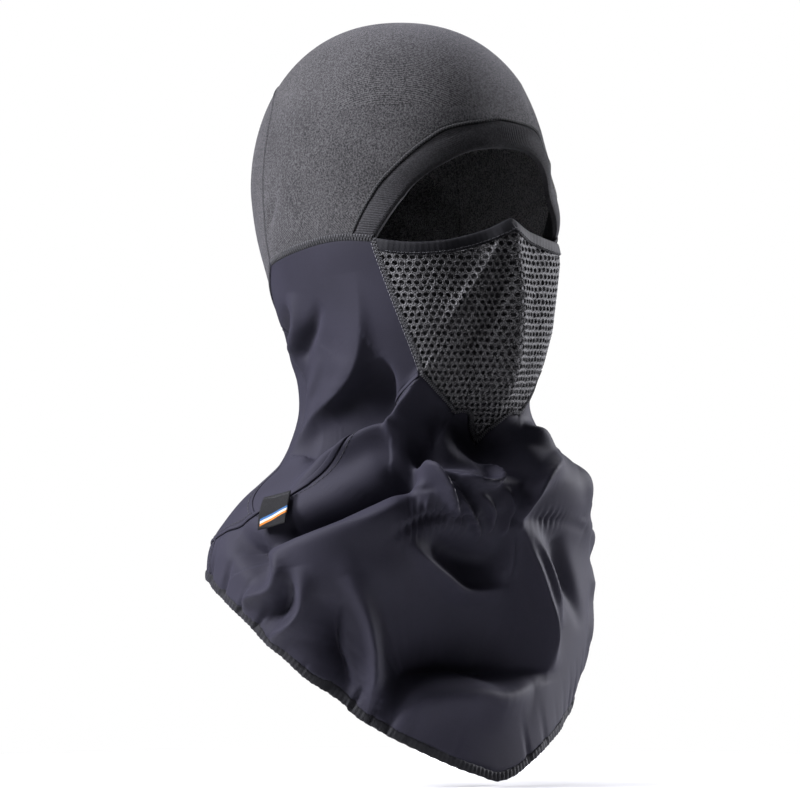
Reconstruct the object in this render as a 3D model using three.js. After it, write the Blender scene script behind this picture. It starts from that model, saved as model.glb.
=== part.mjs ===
// Windproof balaclava with a knitted cap, an eye opening, a pull-down mesh mask, a shaped neck
// and a flared bib. Millimetres, +Z up, the wearer looks along -Y and +X is the wearer's left.
// The garment is one skin around an upright axis. A place on it is written (bearing, height):
// the bearing is in degrees from the front towards the wearer's left, and the height is in
// millimetres above the lowest point of the bib. The finished group is lowered so that its
// origin is the inside of the crown, where the wearer's head meets the cap.

import {
  BoxGeometry, Color, Group, LatheGeometry, Matrix4, Mesh, MeshStandardMaterial, SplineCurve,
  Vector2, Vector3,
} from 'three';

// Driving dimensions
const TOTAL_HEIGHT = 443;
const DOME_FOOT = 340;
const DOME_ROUNDNESS = 2.2;
const KNIT = 1.8;
const SOFTSHELL = 2;
const RIB = 2.6;
const SEAM_GAP = 0.5;
const SEAM_LIFT = 0.45;
const HIGH_SEAM_LIFT = 1;
const CREASED_SEAM_LIFT = 1.7;
const CHIN_SEAM_LIFT = 2;
const SEAM_WIDTH = 5;
const WELT_WIDTH = 3.5;
const CHIN_SEAM_WIDTH = 4;
const SEAM_THICKNESS = 0.9;
const HEM_WIDTH = 6;
const HEM_THICKNESS = 3.4;
const HEM_SINK = 1;
const MASK_EDGE_WIDTH = 7;
const MESH_HALF_THICKNESS = 0.9;
const LINING = { inner: -2.8, outer: -2 };
const ELASTIC = { halfWidth: 4, depth: 1.2, thickness: 1.2 };
const BACK_ROUNDNESS = 2.05;
const LABEL_SLOPE = 0.3;
const MEAN_RADIUS = 90;
const LABEL = { width: 20, drop: 22, thickness: 1, bearing: -83, height: 164.5, stand: 3.5 };
const CARE_LABEL = { width: 28, drop: 18, thickness: 0.8, bearing: 180, height: 226, stand: -5 };

// Sections of the skin: height, half width at the side, reach to the front, reach to the back,
// and squareness of the front half (2 is an ellipse). Above DOME_FOOT the last one closes in.
const SECTIONS = [
  [-10, 82, 89, 82, 2.4],
  [33, 98, 91, 96, 2.4],
  [57, 108, 91.5, 100, 2.4],
  [80, 115, 90.5, 101, 2.4],
  [103, 118, 89.5, 101, 2.4],
  [127, 118.5, 89.5, 101, 2.4],
  [139, 116, 92, 97, 2.4],
  [150, 110.5, 97, 87, 2.5],
  [162, 102, 105, 75, 2.6],
  [174, 90, 111, 62, 2.7],
  [186, 77, 111, 54.5, 2.7],
  [198, 67, 104, 51, 2.6],
  [209, 61, 98, 50.5, 2.5],
  [221, 59.5, 96.5, 50.5, 2.4],
  [233, 61.5, 98, 52.5, 2.4],
  [245, 65.5, 100.5, 58, 2.4],
  [268, 72, 104, 66, 2.4],
  [291, 76.5, 105, 75, 2.35],
  [315, 80, 104, 85, 2.35],
  [DOME_FOOT, 80.5, 97.5, 95, 2.1],
];
const KEEL = { reach: 6, spread: 9, height: 275, half: 60 };
const THROAT = { depth: 18, spread: 24, height: 193, half: 24 };

// Smooth value of one column of SECTIONS at a height
function sectionValue(height, column) {
  const last = SECTIONS.length - 1;
  const above = SECTIONS.findIndex((row) => row[0] > height);
  const high = above < 0 ? last : Math.max(above, 1);
  const rows = [high - 2, high - 1, high, high + 1].map((i) => SECTIONS[Math.min(Math.max(i, 0), last)]);
  const [before, low, top, after] = rows;
  const step = top[0] - low[0];
  const part = Math.min(Math.max((height - low[0]) / step, 0), 1);
  const slopeLow = (top[column] - before[column]) / (top[0] - before[0]) * step;
  const slopeTop = (after[column] - low[column]) / (after[0] - low[0]) * step;
  const square = part * part;
  const cube = square * part;
  return (2 * cube - 3 * square + 1) * low[column] + (cube - 2 * square + part) * slopeLow
    + (3 * square - 2 * cube) * top[column] + (cube - square) * slopeTop;
}

// The dome is climbed by an angle, so that it can be followed evenly up to its pole
const DOME_RISE = TOTAL_HEIGHT - DOME_FOOT;
const CLIMB_TOP = DOME_FOOT + DOME_RISE * Math.PI / 2;

function climbOf(height) {
  if (height <= DOME_FOOT) return height;
  const share = Math.min((height - DOME_FOOT) / DOME_RISE, 1);
  return DOME_FOOT + DOME_RISE * Math.asin(share ** (DOME_ROUNDNESS / 2));
}

function heightOf(climb) {
  if (climb <= DOME_FOOT) return climb;
  return DOME_FOOT + DOME_RISE * Math.sin((climb - DOME_FOOT) / DOME_RISE) ** (2 / DOME_ROUNDNESS);
}

function domeShrink(climb) {
  if (climb <= DOME_FOOT) return 1;
  return Math.max(Math.cos((climb - DOME_FOOT) / DOME_RISE), 0) ** (2 / DOME_ROUNDNESS);
}

const bell = (distance, spread) => Math.exp(-((distance / spread) ** 2));

// Distance from the upright axis to the skin
function reach(bearing, climb) {
  const height = heightOf(climb);
  const turn = bearing * Math.PI / 180;
  const [side, front, back, squareness] = [1, 2, 3, 4].map((column) => sectionValue(height, column));
  const ahead = Math.cos(turn) > 0;
  const power = ahead ? squareness : BACK_ROUNDNESS;
  const across = Math.abs(Math.sin(turn)) / side;
  const along = Math.abs(Math.cos(turn)) / (ahead ? front : back);
  const oval = (across ** power + along ** power) ** (-1 / power) * domeShrink(climb);
  const facing = ((bearing + 540) % 360) - 180;
  const keel = KEEL.reach * bell(facing, KEEL.spread)
    * Math.exp(-(((height - KEEL.height) / KEEL.half) ** 4));
  const throat = THROAT.depth * bell(facing, THROAT.spread) * bell(height - THROAT.height, THROAT.half);
  return oval + keel - throat;
}

function skinPoint(bearing, climb) {
  const turn = bearing * Math.PI / 180;
  const radius = reach(bearing, climb);
  return new Vector3(radius * Math.sin(turn), -radius * Math.cos(turn), heightOf(climb));
}

function skinNormal(bearing, climb) {
  const low = Math.min(climb, CLIMB_TOP - 2);
  const right = skinPoint(bearing + 0.5, low).sub(skinPoint(bearing - 0.5, low));
  const up = skinPoint(bearing, low + 0.5).sub(skinPoint(bearing, low - 0.5));
  const normal = right.cross(up).normalize();
  const nearPole = Math.max(0, (climb - CLIMB_TOP + 10) / 10);
  return normal.lerp(new Vector3(0, 0, 1), nearPole).normalize();
}

// Point at an offset from the skin: positive is outside
function place(bearing, climb, offset) {
  return skinPoint(bearing, climb).addScaledVector(skinNormal(bearing, climb), offset);
}

// Lines on the skin are functions of a share from 0 to 1
const at = (bearing, height) => new Vector2(bearing, climbOf(height));

function line(...places) {
  const curve = new SplineCurve(places.map(([bearing, height]) => at(bearing, height)));
  return (share) => curve.getPoint(Math.min(Math.max(share, 0), 1));
}

const straight = (from, to) => (share) => from.clone().lerp(to, share);
const reversed = (path) => (share) => path(1 - share);
const flipped = (path) => (share) => {
  const point = path(share);
  return new Vector2(-point.x, point.y);
};
const wrapped = (path) => (share) => {
  const point = path(share);
  return new Vector2(360 - point.x, point.y);
};

// Several lines end to end, each with the number of cells that it takes
function chain(...links) {
  const total = links.reduce((sum, [, cells]) => sum + cells, 0);
  return (share) => {
    let rest = Math.min(Math.max(share, 0), 1) * total;
    for (const [path, cells] of links) {
      if (rest <= cells + 1e-9) return path(rest / cells);
      rest -= cells;
    }
    return links[links.length - 1][0](1);
  };
}

const mirrorChain = (...links) => chain(
  ...links.map(([path, cells]) => [reversed(flipped(path)), cells]).reverse(), ...links);
const wrapChain = (...links) => chain(
  ...links, ...links.map(([path, cells]) => [reversed(wrapped(path)), cells]).reverse());

// Point beside a line, on its left as one walks along it
function beside(path, share, distance) {
  const ahead = path(Math.min(share + 0.01, 1));
  const behind = path(Math.max(share - 0.01, 0));
  const middle = path(share);
  const scale = reach(middle.x, middle.y) * Math.PI / 180;
  const right = (ahead.x - behind.x) * scale;
  const up = ahead.y - behind.y;
  const length = Math.hypot(right, up);
  return new Vector2(middle.x - up / length * distance / scale, middle.y + right / length * distance);
}

const besideLine = (path, distance) => (share) => beside(path, share, distance);

// The seam lines, from the front towards the wearer's left
const browTop = line([0, 385], [20, 380], [30, 372], [40, 359], [50, 340], [58, 316]);
const eyeTop = line([0, 368], [14, 365.5], [28, 354], [38, 338], [48, 315]);
const bandFoot = line([48, 315], [58, 316]);
const maskTop = line([0, 326], [10, 321.5], [26, 316.8], [47, 315]);
const capFoot = line([58, 316], [69, 315], [86, 310.6], [112, 302]);
const backSide = line([112, 302], [113.5, 325], [114.5, 350], [116, 375]);
const backTop = line([116, 375], [123, 394], [146, 406], [180, 409]);
const napeUpper = line([112, 302], [119, 291], [126, 281]);
const napeLower = line([126, 281], [140, 263], [160, 243], [180, 236]);
const maskCorner = line([46.4, 307.5], [48, 315]);
const maskSide = line([29, 239], [38.6, 276], [46.4, 307.5]);
const chinSide = line([14.5, 214], [22, 226], [29, 239]);
const chinTip = line([0, 199.5], [4, 206], [9, 214], [14.5, 214]);
const neckFoot = line([29, 239], [42.7, 218], [65, 182], [80, 166.5], [92, 155]);
const shoulderTop = line([92, 155], [102, 147], [112, 141]);
const napeFoot = line([112, 141], [145, 132], [180, 130]);
const neckSide = line([92, 155], [102, 168], [110, 190], [115, 220], [120, 250], [126, 281]);
const hemFront = line([0, 0], [12, 2], [25, 9.4], [40, 21], [53, 33], [62, 45], [70, 56.5],
  [76, 68], [83, 80], [90, 92], [99, 103.5], [112, 114.5]);
const hemBack = line([112, 114.5], [140, 118], [180, 114]);
const throatLine = line([0, 151], [20, 152], [42, 146]);

// Sheet of cloth between four lines: foot and top run towards the wearer's left, and the two
// edges run upwards
function cloth({ foot, top, startEdge, endEdge }, cells, rows, inner, outer, gap = SEAM_GAP) {
  const corners = [foot(0), foot(1), top(0), top(1)];
  const spanOf = (a, b) => Math.hypot((a.x - b.x) * MEAN_RADIUS * Math.PI / 180, a.y - b.y);
  const inset = (share, span) => gap / span + share * (1 - 2 * gap / span);
  const geometry = new BoxGeometry(1, 1, 1, cells, rows, 1);
  const position = geometry.attributes.position;
  for (let i = 0; i < position.count; i += 1) {
    const rawAcross = position.getX(i) + 0.5;
    const rawUp = position.getY(i) + 0.5;
    const across = inset(rawAcross, spanOf(startEdge(rawUp), endEdge(rawUp)));
    const up = inset(rawUp, spanOf(foot(rawAcross), top(rawAcross)));
    const spot = foot(across).multiplyScalar(1 - up).addScaledVector(top(across), up)
      .addScaledVector(startEdge(up), 1 - across).addScaledVector(endEdge(up), across)
      .addScaledVector(corners[0], -(1 - across) * (1 - up))
      .addScaledVector(corners[1], -across * (1 - up))
      .addScaledVector(corners[2], -(1 - across) * up)
      .addScaledVector(corners[3], -across * up);
    const offset = position.getZ(i) > 0 ? outer : inner;
    position.setXYZ(i, ...place(spot.x, spot.y, offset).toArray());
  }
  return geometry;
}

const mirroredCloth = ({ foot, top, startEdge, endEdge }) => ({
  foot: reversed(flipped(foot)),
  top: reversed(flipped(top)),
  startEdge: flipped(endEdge),
  endEdge: flipped(startEdge),
});

// Tape or binding that follows a line, from `low` to `high` millimetres beside it
function tape(path, cells, low, high, inner, outer, start = 0, end = 1) {
  const geometry = new BoxGeometry(1, 1, 1, cells, 1, 1);
  const position = geometry.attributes.position;
  for (let i = 0; i < position.count; i += 1) {
    const share = start + (end - start) * (position.getX(i) + 0.5);
    const spot = beside(path, share, position.getY(i) > 0 ? high : low);
    const offset = position.getZ(i) > 0 ? outer : inner;
    position.setXYZ(i, ...place(spot.x, spot.y, offset).toArray());
  }
  return geometry;
}

function seam(path, cells, start = 0.03, end = 0.97, lift = SEAM_LIFT, width = SEAM_WIDTH) {
  return tape(path, cells, -width / 2, width / 2, lift, lift + SEAM_THICKNESS, start, end);
}

// The cap's dome: its rim follows the cap's seams and its rings close at the pole
function crown() {
  const links = [[browTop, 9], [capFoot, 6], [backSide, 4], [backTop, 7]];
  const halfCells = links.reduce((sum, [, cells]) => sum + cells, 0);
  const rim = chain(...links);
  const rings = 10;
  const profile = [];
  for (let ring = 0; ring <= rings; ring += 1) profile.push(new Vector2(ring / rings, 0));
  for (let ring = rings; ring >= 0; ring -= 1) profile.push(new Vector2(ring / rings, 1));
  const geometry = new LatheGeometry(profile, 2 * halfCells);
  const position = geometry.attributes.position;
  for (let i = 0; i < position.count; i += 1) {
    const turn = Math.atan2(position.getX(i), position.getZ(i));
    const toRim = Math.hypot(position.getX(i), position.getZ(i));
    const share = Math.abs(turn) / Math.PI;
    const edge = beside(rim, share, SEAM_GAP);
    if (share < 1e-6) edge.x = 0;
    if (share > 1 - 1e-6) edge.x = 180;
    const bearing = 180 * share + (edge.x - 180 * share) * toRim;
    const climb = CLIMB_TOP + (edge.y - CLIMB_TOP) * toRim;
    const offset = position.getY(i) > 0.5 ? 0 : -KNIT;
    position.setXYZ(i, ...place(Math.sign(turn) * bearing, climb, offset).toArray());
  }
  return geometry;
}

// Flat woven tab that hangs down the skin from its sewn upper edge
function tab({ width, drop, thickness, bearing, height, stand }, slope) {
  const climb = climbOf(height);
  const normal = skinNormal(bearing, climb);
  const level = new Vector3(0, 0, 1).cross(normal).normalize();
  const along = level.applyAxisAngle(normal, slope);
  const up = normal.clone().cross(along);
  const turn = new Matrix4().makeBasis(along, up, normal);
  const geometry = new BoxGeometry(width, drop, thickness, 1, 1, 1);
  geometry.translate(0, -drop / 2, 0).applyMatrix4(turn);
  geometry.translate(...place(bearing, climb, stand).toArray());
  return geometry;
}

// Colours and finishes
const KNIT_GREY = { color: new Color(0.3, 0.3, 0.32), roughness: 0.95, metalness: 0 };
const RIB_GREY = { color: new Color(0.13, 0.13, 0.15), roughness: 0.9, metalness: 0 };
const SHELL_NAVY = { color: new Color(0.045, 0.043, 0.06), roughness: 0.55, metalness: 0 };
const MESH_GREY = { color: new Color(0.1, 0.1, 0.11), roughness: 0.9, metalness: 0 };
const BINDING_GREY = { color: new Color(0.07, 0.07, 0.08), roughness: 0.75, metalness: 0 };
const THREAD_GREY = { color: new Color(0.16, 0.16, 0.18), roughness: 0.85, metalness: 0 };
const THREAD_DARK = { color: new Color(0.04, 0.04, 0.055), roughness: 0.7, metalness: 0 };
const LABEL_BLACK = { color: new Color(0.03, 0.03, 0.03), roughness: 0.6, metalness: 0 };
const LABEL_WHITE = { color: new Color(0.75, 0.75, 0.72), roughness: 0.7, metalness: 0 };

const group = new Group();

function add(name, geometry, look) {
  const mesh = new Mesh(geometry, new MeshStandardMaterial(look));
  mesh.name = name;
  group.add(mesh);
}

// The same piece on both sides of the wearer
function addPair(name, makeGeometry, look) {
  add(`${name}_left`, makeGeometry((path) => path), look);
  add(`${name}_right`, makeGeometry(flipped), look);
}

function addCap() {
  add('crown_panel', crown(), KNIT_GREY);
  add('back_head_panel', cloth({
    foot: wrapChain([napeUpper, 3], [napeLower, 5]),
    top: wrapChain([backTop, 8]),
    startEdge: backSide,
    endEdge: wrapped(backSide),
  }, 16, 12, -KNIT, 0, 2 * SEAM_GAP), KNIT_GREY);
  add('brow_band', cloth({
    foot: mirrorChain([eyeTop, 12]),
    top: mirrorChain([browTop, 12]),
    startEdge: flipped(bandFoot),
    endEdge: bandFoot,
  }, 24, 2, 0.4 - RIB, 0.4), RIB_GREY);
}

function addMask() {
  const edge = mirrorChain([maskTop, 10]);
  const outline = {
    foot: mirrorChain([chinTip, 6]),
    top: besideLine(edge, -MASK_EDGE_WIDTH - SEAM_GAP),
    startEdge: flipped(chain([chinSide, 3], [maskSide, 9])),
    endEdge: chain([chinSide, 3], [maskSide, 9]),
  };
  add('mask_panel', cloth(outline, 12, 12, -MESH_HALF_THICKNESS, MESH_HALF_THICKNESS), MESH_GREY);
  add('mask_lining', cloth(outline, 12, 12, LINING.inner, LINING.outer), THREAD_DARK);
  add('mask_binding', tape(edge, 20, -MASK_EDGE_WIDTH, 0, -1.8, 1.6, 0.02, 0.98), BINDING_GREY);
}

function addNeck() {
  const side = {
    foot: neckFoot,
    top: chain([bandFoot, 2], [capFoot, 8], [napeUpper, 2]),
    startEdge: chain([maskSide, 10], [maskCorner, 1]),
    endEdge: neckSide,
  };
  add('neck_panel_left', cloth(side, 12, 16, -SOFTSHELL, 0), SHELL_NAVY);
  add('neck_panel_right', cloth(mirroredCloth(side), 12, 16, -SOFTSHELL, 0), SHELL_NAVY);
  add('neck_back_panel', cloth({
    foot: wrapChain([shoulderTop, 2], [napeFoot, 5]),
    top: wrapChain([napeLower, 7]),
    startEdge: neckSide,
    endEdge: wrapped(neckSide),
  }, 14, 13, -SOFTSHELL, 0), SHELL_NAVY);
}

function addBib() {
  const frontFoot = besideLine(hemFront, HEM_WIDTH);
  const backFoot = besideLine(hemBack, HEM_WIDTH);
  const frontEdge = straight(frontFoot(1), shoulderTop(1));
  const backEdge = straight(backFoot(0), napeFoot(0));
  add('bib_front_panel', cloth({
    foot: mirrorChain([frontFoot, 17]),
    top: mirrorChain([chinTip, 3], [chinSide, 3], [neckFoot, 8], [shoulderTop, 3]),
    startEdge: flipped(frontEdge),
    endEdge: frontEdge,
  }, 34, 14, -SOFTSHELL, 0), SHELL_NAVY);
  add('bib_back_panel', cloth({
    foot: wrapChain([backFoot, 8]),
    top: wrapChain([napeFoot, 8]),
    startEdge: backEdge,
    endEdge: wrapped(backEdge),
  }, 16, 2, -SOFTSHELL, 0), SHELL_NAVY);
  const inner = -HEM_THICKNESS / 2 - HEM_SINK;
  const outer = HEM_THICKNESS / 2 - HEM_SINK;
  add('hem_binding_front', tape(mirrorChain([hemFront, 22]), 44, 0, HEM_WIDTH, inner, outer,
    0.002, 0.998), BINDING_GREY);
  add('hem_binding_back', tape(wrapChain([hemBack, 8]), 16, 0, HEM_WIDTH, inner, outer,
    0.004, 0.996), BINDING_GREY);
  const { halfWidth, depth, thickness } = ELASTIC;
  add('throat_elastic', tape(mirrorChain([throatLine, 8]), 16, -halfWidth, halfWidth,
    -SOFTSHELL - depth - thickness, -SOFTSHELL - depth), THREAD_DARK);
}

function addSeams() {
  add('brow_seam', seam(mirrorChain([browTop, 12]), 24, 0.03, 0.97, HIGH_SEAM_LIFT), THREAD_GREY);
  addPair('cap_neck_seam', (side) => seam(side(chain([bandFoot, 2], [capFoot, 8])), 12,
    0.1, 0.95, HIGH_SEAM_LIFT), THREAD_GREY);
  add('back_panel_seam', seam(wrapChain([backSide, 6], [backTop, 8]), 28,
    0.04, 0.96, HIGH_SEAM_LIFT), THREAD_GREY);
  add('nape_seam', seam(wrapChain([napeUpper, 3], [napeLower, 6]), 18, 0.04, 0.96), THREAD_DARK);
  addPair('mask_side_seam', (side) => seam(side(maskSide), 9, 0.04, 0.86, CREASED_SEAM_LIFT),
    THREAD_GREY);
  add('mask_chin_seam', seam(mirrorChain([chinTip, 5], [chinSide, 4]), 18,
    0.03, 0.97, CHIN_SEAM_LIFT, CHIN_SEAM_WIDTH), THREAD_GREY);
  addPair('neck_bib_seam', (side) => seam(side(neckFoot), 16,
    0.1, 0.95, CREASED_SEAM_LIFT, WELT_WIDTH), THREAD_DARK);
  add('nape_bib_seam', seam(wrapChain([shoulderTop, 2], [napeFoot, 5]), 14,
    0.04, 0.96, HIGH_SEAM_LIFT, WELT_WIDTH), THREAD_DARK);
  addPair('neck_side_seam', (side) => seam(side(neckSide), 12,
    0.06, 0.95, HIGH_SEAM_LIFT, WELT_WIDTH), THREAD_DARK);
  const shoulder = straight(beside(hemFront, 1, HEM_WIDTH), shoulderTop(1));
  addPair('shoulder_seam', (side) => seam(side(shoulder), 2,
    0.06, 0.75, HIGH_SEAM_LIFT, WELT_WIDTH), THREAD_DARK);
}

function addLabels() {
  add('side_label', tab(LABEL, LABEL_SLOPE), LABEL_BLACK);
  add('care_label', tab(CARE_LABEL, 0), LABEL_WHITE);
}

addCap();
addMask();
addNeck();
addBib();
addSeams();
addLabels();
group.position.z = KNIT - TOTAL_HEIGHT;

export default group;
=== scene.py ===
"""Looks of the windproof balaclava: knitted cap, ribbed brow band, open-mesh mask and softshell
neck and bib. The garment is one skin around an upright axis. A place on it is (bearing, climb):
degrees from the front towards the wearer's left, and millimetres above the bib's lowest point,
continued over the dome by an angle. Folds are strokes on that skin."""
import math

import bpy
import numpy as np
from mathutils import Matrix, Vector


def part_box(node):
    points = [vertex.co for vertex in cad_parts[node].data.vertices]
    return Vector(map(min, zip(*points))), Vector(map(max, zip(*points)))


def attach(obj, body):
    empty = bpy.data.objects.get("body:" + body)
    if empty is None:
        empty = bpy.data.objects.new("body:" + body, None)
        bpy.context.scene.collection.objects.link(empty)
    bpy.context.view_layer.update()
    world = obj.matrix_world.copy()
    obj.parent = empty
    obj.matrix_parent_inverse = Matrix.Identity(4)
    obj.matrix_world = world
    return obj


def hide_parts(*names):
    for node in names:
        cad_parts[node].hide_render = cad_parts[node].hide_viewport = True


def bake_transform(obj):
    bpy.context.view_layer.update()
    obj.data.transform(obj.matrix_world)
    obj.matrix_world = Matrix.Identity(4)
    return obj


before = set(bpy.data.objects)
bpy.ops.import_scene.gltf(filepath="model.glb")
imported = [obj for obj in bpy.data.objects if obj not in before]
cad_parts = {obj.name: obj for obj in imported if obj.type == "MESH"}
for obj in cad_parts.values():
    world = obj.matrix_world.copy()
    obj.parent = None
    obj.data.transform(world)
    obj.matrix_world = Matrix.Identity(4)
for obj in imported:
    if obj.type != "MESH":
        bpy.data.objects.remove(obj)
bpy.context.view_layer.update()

# lengths are in mm and bearings in degrees, until place() gives metres in the row frame
MM = 0.001
SEED = 712
rng = np.random.default_rng(SEED)

# ---------------------------------------------------------------- the skin
TOTAL_HEIGHT = 443.0
ROW_DROP = 441.2  # the row frame's origin is inside the crown, this far above the bib's tip
DOME_FOOT = 340.0
DOME_ROUNDNESS = 2.2
DOME_RISE = TOTAL_HEIGHT - DOME_FOOT
CLIMB_TOP = DOME_FOOT + DOME_RISE * math.pi / 2
BACK_ROUNDNESS = 2.05
SOFTSHELL = 1.5
KNIT = 1.4
RIB = 2.6
HEM_WIDTH = 6.0
MASK_EDGE_WIDTH = 7.0

# height, half width at the side, reach to the front, reach to the back, squareness in front
SECTIONS = np.array([
    [-10, 82, 89, 82, 2.4], [33, 98, 91, 96, 2.4], [57, 108, 91.5, 100, 2.4],
    [80, 115, 90.5, 101, 2.4], [103, 118, 89.5, 101, 2.4], [127, 118.5, 89.5, 101, 2.4],
    [139, 116, 92, 97, 2.4], [150, 110.5, 97, 87, 2.5], [162, 102, 105, 75, 2.6],
    [174, 90, 111, 62, 2.7], [186, 77, 111, 54.5, 2.7], [198, 67, 104, 51, 2.6],
    [209, 61, 98, 50.5, 2.5], [221, 59.5, 96.5, 50.5, 2.4], [233, 61.5, 98, 52.5, 2.4],
    [245, 65.5, 100.5, 58, 2.4], [268, 72, 104, 66, 2.4], [291, 76.5, 105, 75, 2.35],
    [315, 80, 104, 86.5, 2.35], [DOME_FOOT, 80.5, 97.5, 94.2, 2.1],
    [DOME_FOOT + 20, 80.5, 97.5, 95.6, 2.1]])
# depth, spread to the sides in degrees, height of the middle, spread in height
KEEL = (6.0, 9.0, 275.0, 60.0)
THROAT = (18.0, 24.0, 193.0, 24.0)


def facing_of(bearing):
    """The same bearing between -180 and 180 degrees."""
    return (bearing + 540) % 360 - 180


def section(height):
    """Half width, reach in front and behind, and squareness, smoothly between the SECTIONS."""
    rows = SECTIONS[:, 0]
    last = len(rows) - 1
    high = np.clip(np.searchsorted(rows, height, side="right"), 1, last)
    low, before, after = high - 1, np.maximum(high - 2, 0), np.minimum(high + 1, last)
    step = rows[high] - rows[low]
    part = np.clip((height - rows[low]) / step, 0, 1)[:, None]
    values = SECTIONS[:, 1:]
    slope_low = (values[high] - values[before]) * (step / (rows[high] - rows[before]))[:, None]
    slope_top = (values[after] - values[low]) * (step / (rows[after] - rows[low]))[:, None]
    square, cube = part ** 2, part ** 3
    return ((2 * cube - 3 * square + 1) * values[low] + (cube - 2 * square + part) * slope_low
            + (3 * square - 2 * cube) * values[high] + (cube - square) * slope_top)


def climb_of(height):
    """Climb along the skin: the height, continued over the dome by an angle."""
    height = np.asarray(height, float)
    share = np.clip((height - DOME_FOOT) / DOME_RISE, 0, 1)
    return np.where(height <= DOME_FOOT, height,
                    DOME_FOOT + DOME_RISE * np.arcsin(share ** (DOME_ROUNDNESS / 2)))


def height_of(climb):
    turn = np.clip((climb - DOME_FOOT) / DOME_RISE, 0, math.pi / 2)
    return np.where(climb <= DOME_FOOT, climb,
                    DOME_FOOT + DOME_RISE * np.sin(turn) ** (2 / DOME_ROUNDNESS))


def bell(distance, spread):
    return np.exp(-((distance / spread) ** 2))


def reach(bearing, climb):
    """Distance of the plain skin from the upright axis."""
    height = height_of(climb)
    turn = np.radians(bearing)
    side, front, back, squareness = section(height).T
    ahead = np.cos(turn) > 0
    power = np.where(ahead, squareness, BACK_ROUNDNESS)
    across = np.abs(np.sin(turn)) / side
    along = np.abs(np.cos(turn)) / np.where(ahead, front, back)
    dome = np.clip((climb - DOME_FOOT) / DOME_RISE, 0, math.pi / 2)
    shrink = np.cos(dome) ** (2 / DOME_ROUNDNESS)
    oval = (across ** power + along ** power) ** (-1 / power) * shrink
    facing = facing_of(bearing)
    keel = KEEL[0] * bell(facing, KEEL[1]) * np.exp(-(((height - KEEL[2]) / KEEL[3]) ** 4))
    throat = THROAT[0] * bell(facing, THROAT[1]) * bell(height - THROAT[2], THROAT[3])
    return oval + keel - throat


def arc_scale(bearing, climb, least):
    """Millimetres per degree round the skin, as at a radius of no less than least."""
    return np.maximum(reach(bearing, climb), least) * math.pi / 180


def skin_point(bearing, climb):
    turn, radius = np.radians(bearing), reach(bearing, climb)
    return np.stack([radius * np.sin(turn), -radius * np.cos(turn), height_of(climb)], 1)


def skin_normal(bearing, climb):
    low = np.minimum(climb, CLIMB_TOP - 2)
    right = skin_point(bearing + 0.5, low) - skin_point(bearing - 0.5, low)
    up = skin_point(bearing, low + 0.5) - skin_point(bearing, low - 0.5)
    normal = np.cross(right, up)
    normal /= np.linalg.norm(normal, axis=1)[:, None]
    # the normal turns straight up over the last 10 mm to the pole
    near = np.clip((climb - CLIMB_TOP + 10) / 10, 0, 1)[:, None]
    normal = normal * (1 - near) + np.array([0, 0, 1.0]) * near
    return normal / np.linalg.norm(normal, axis=1)[:, None]


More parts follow.
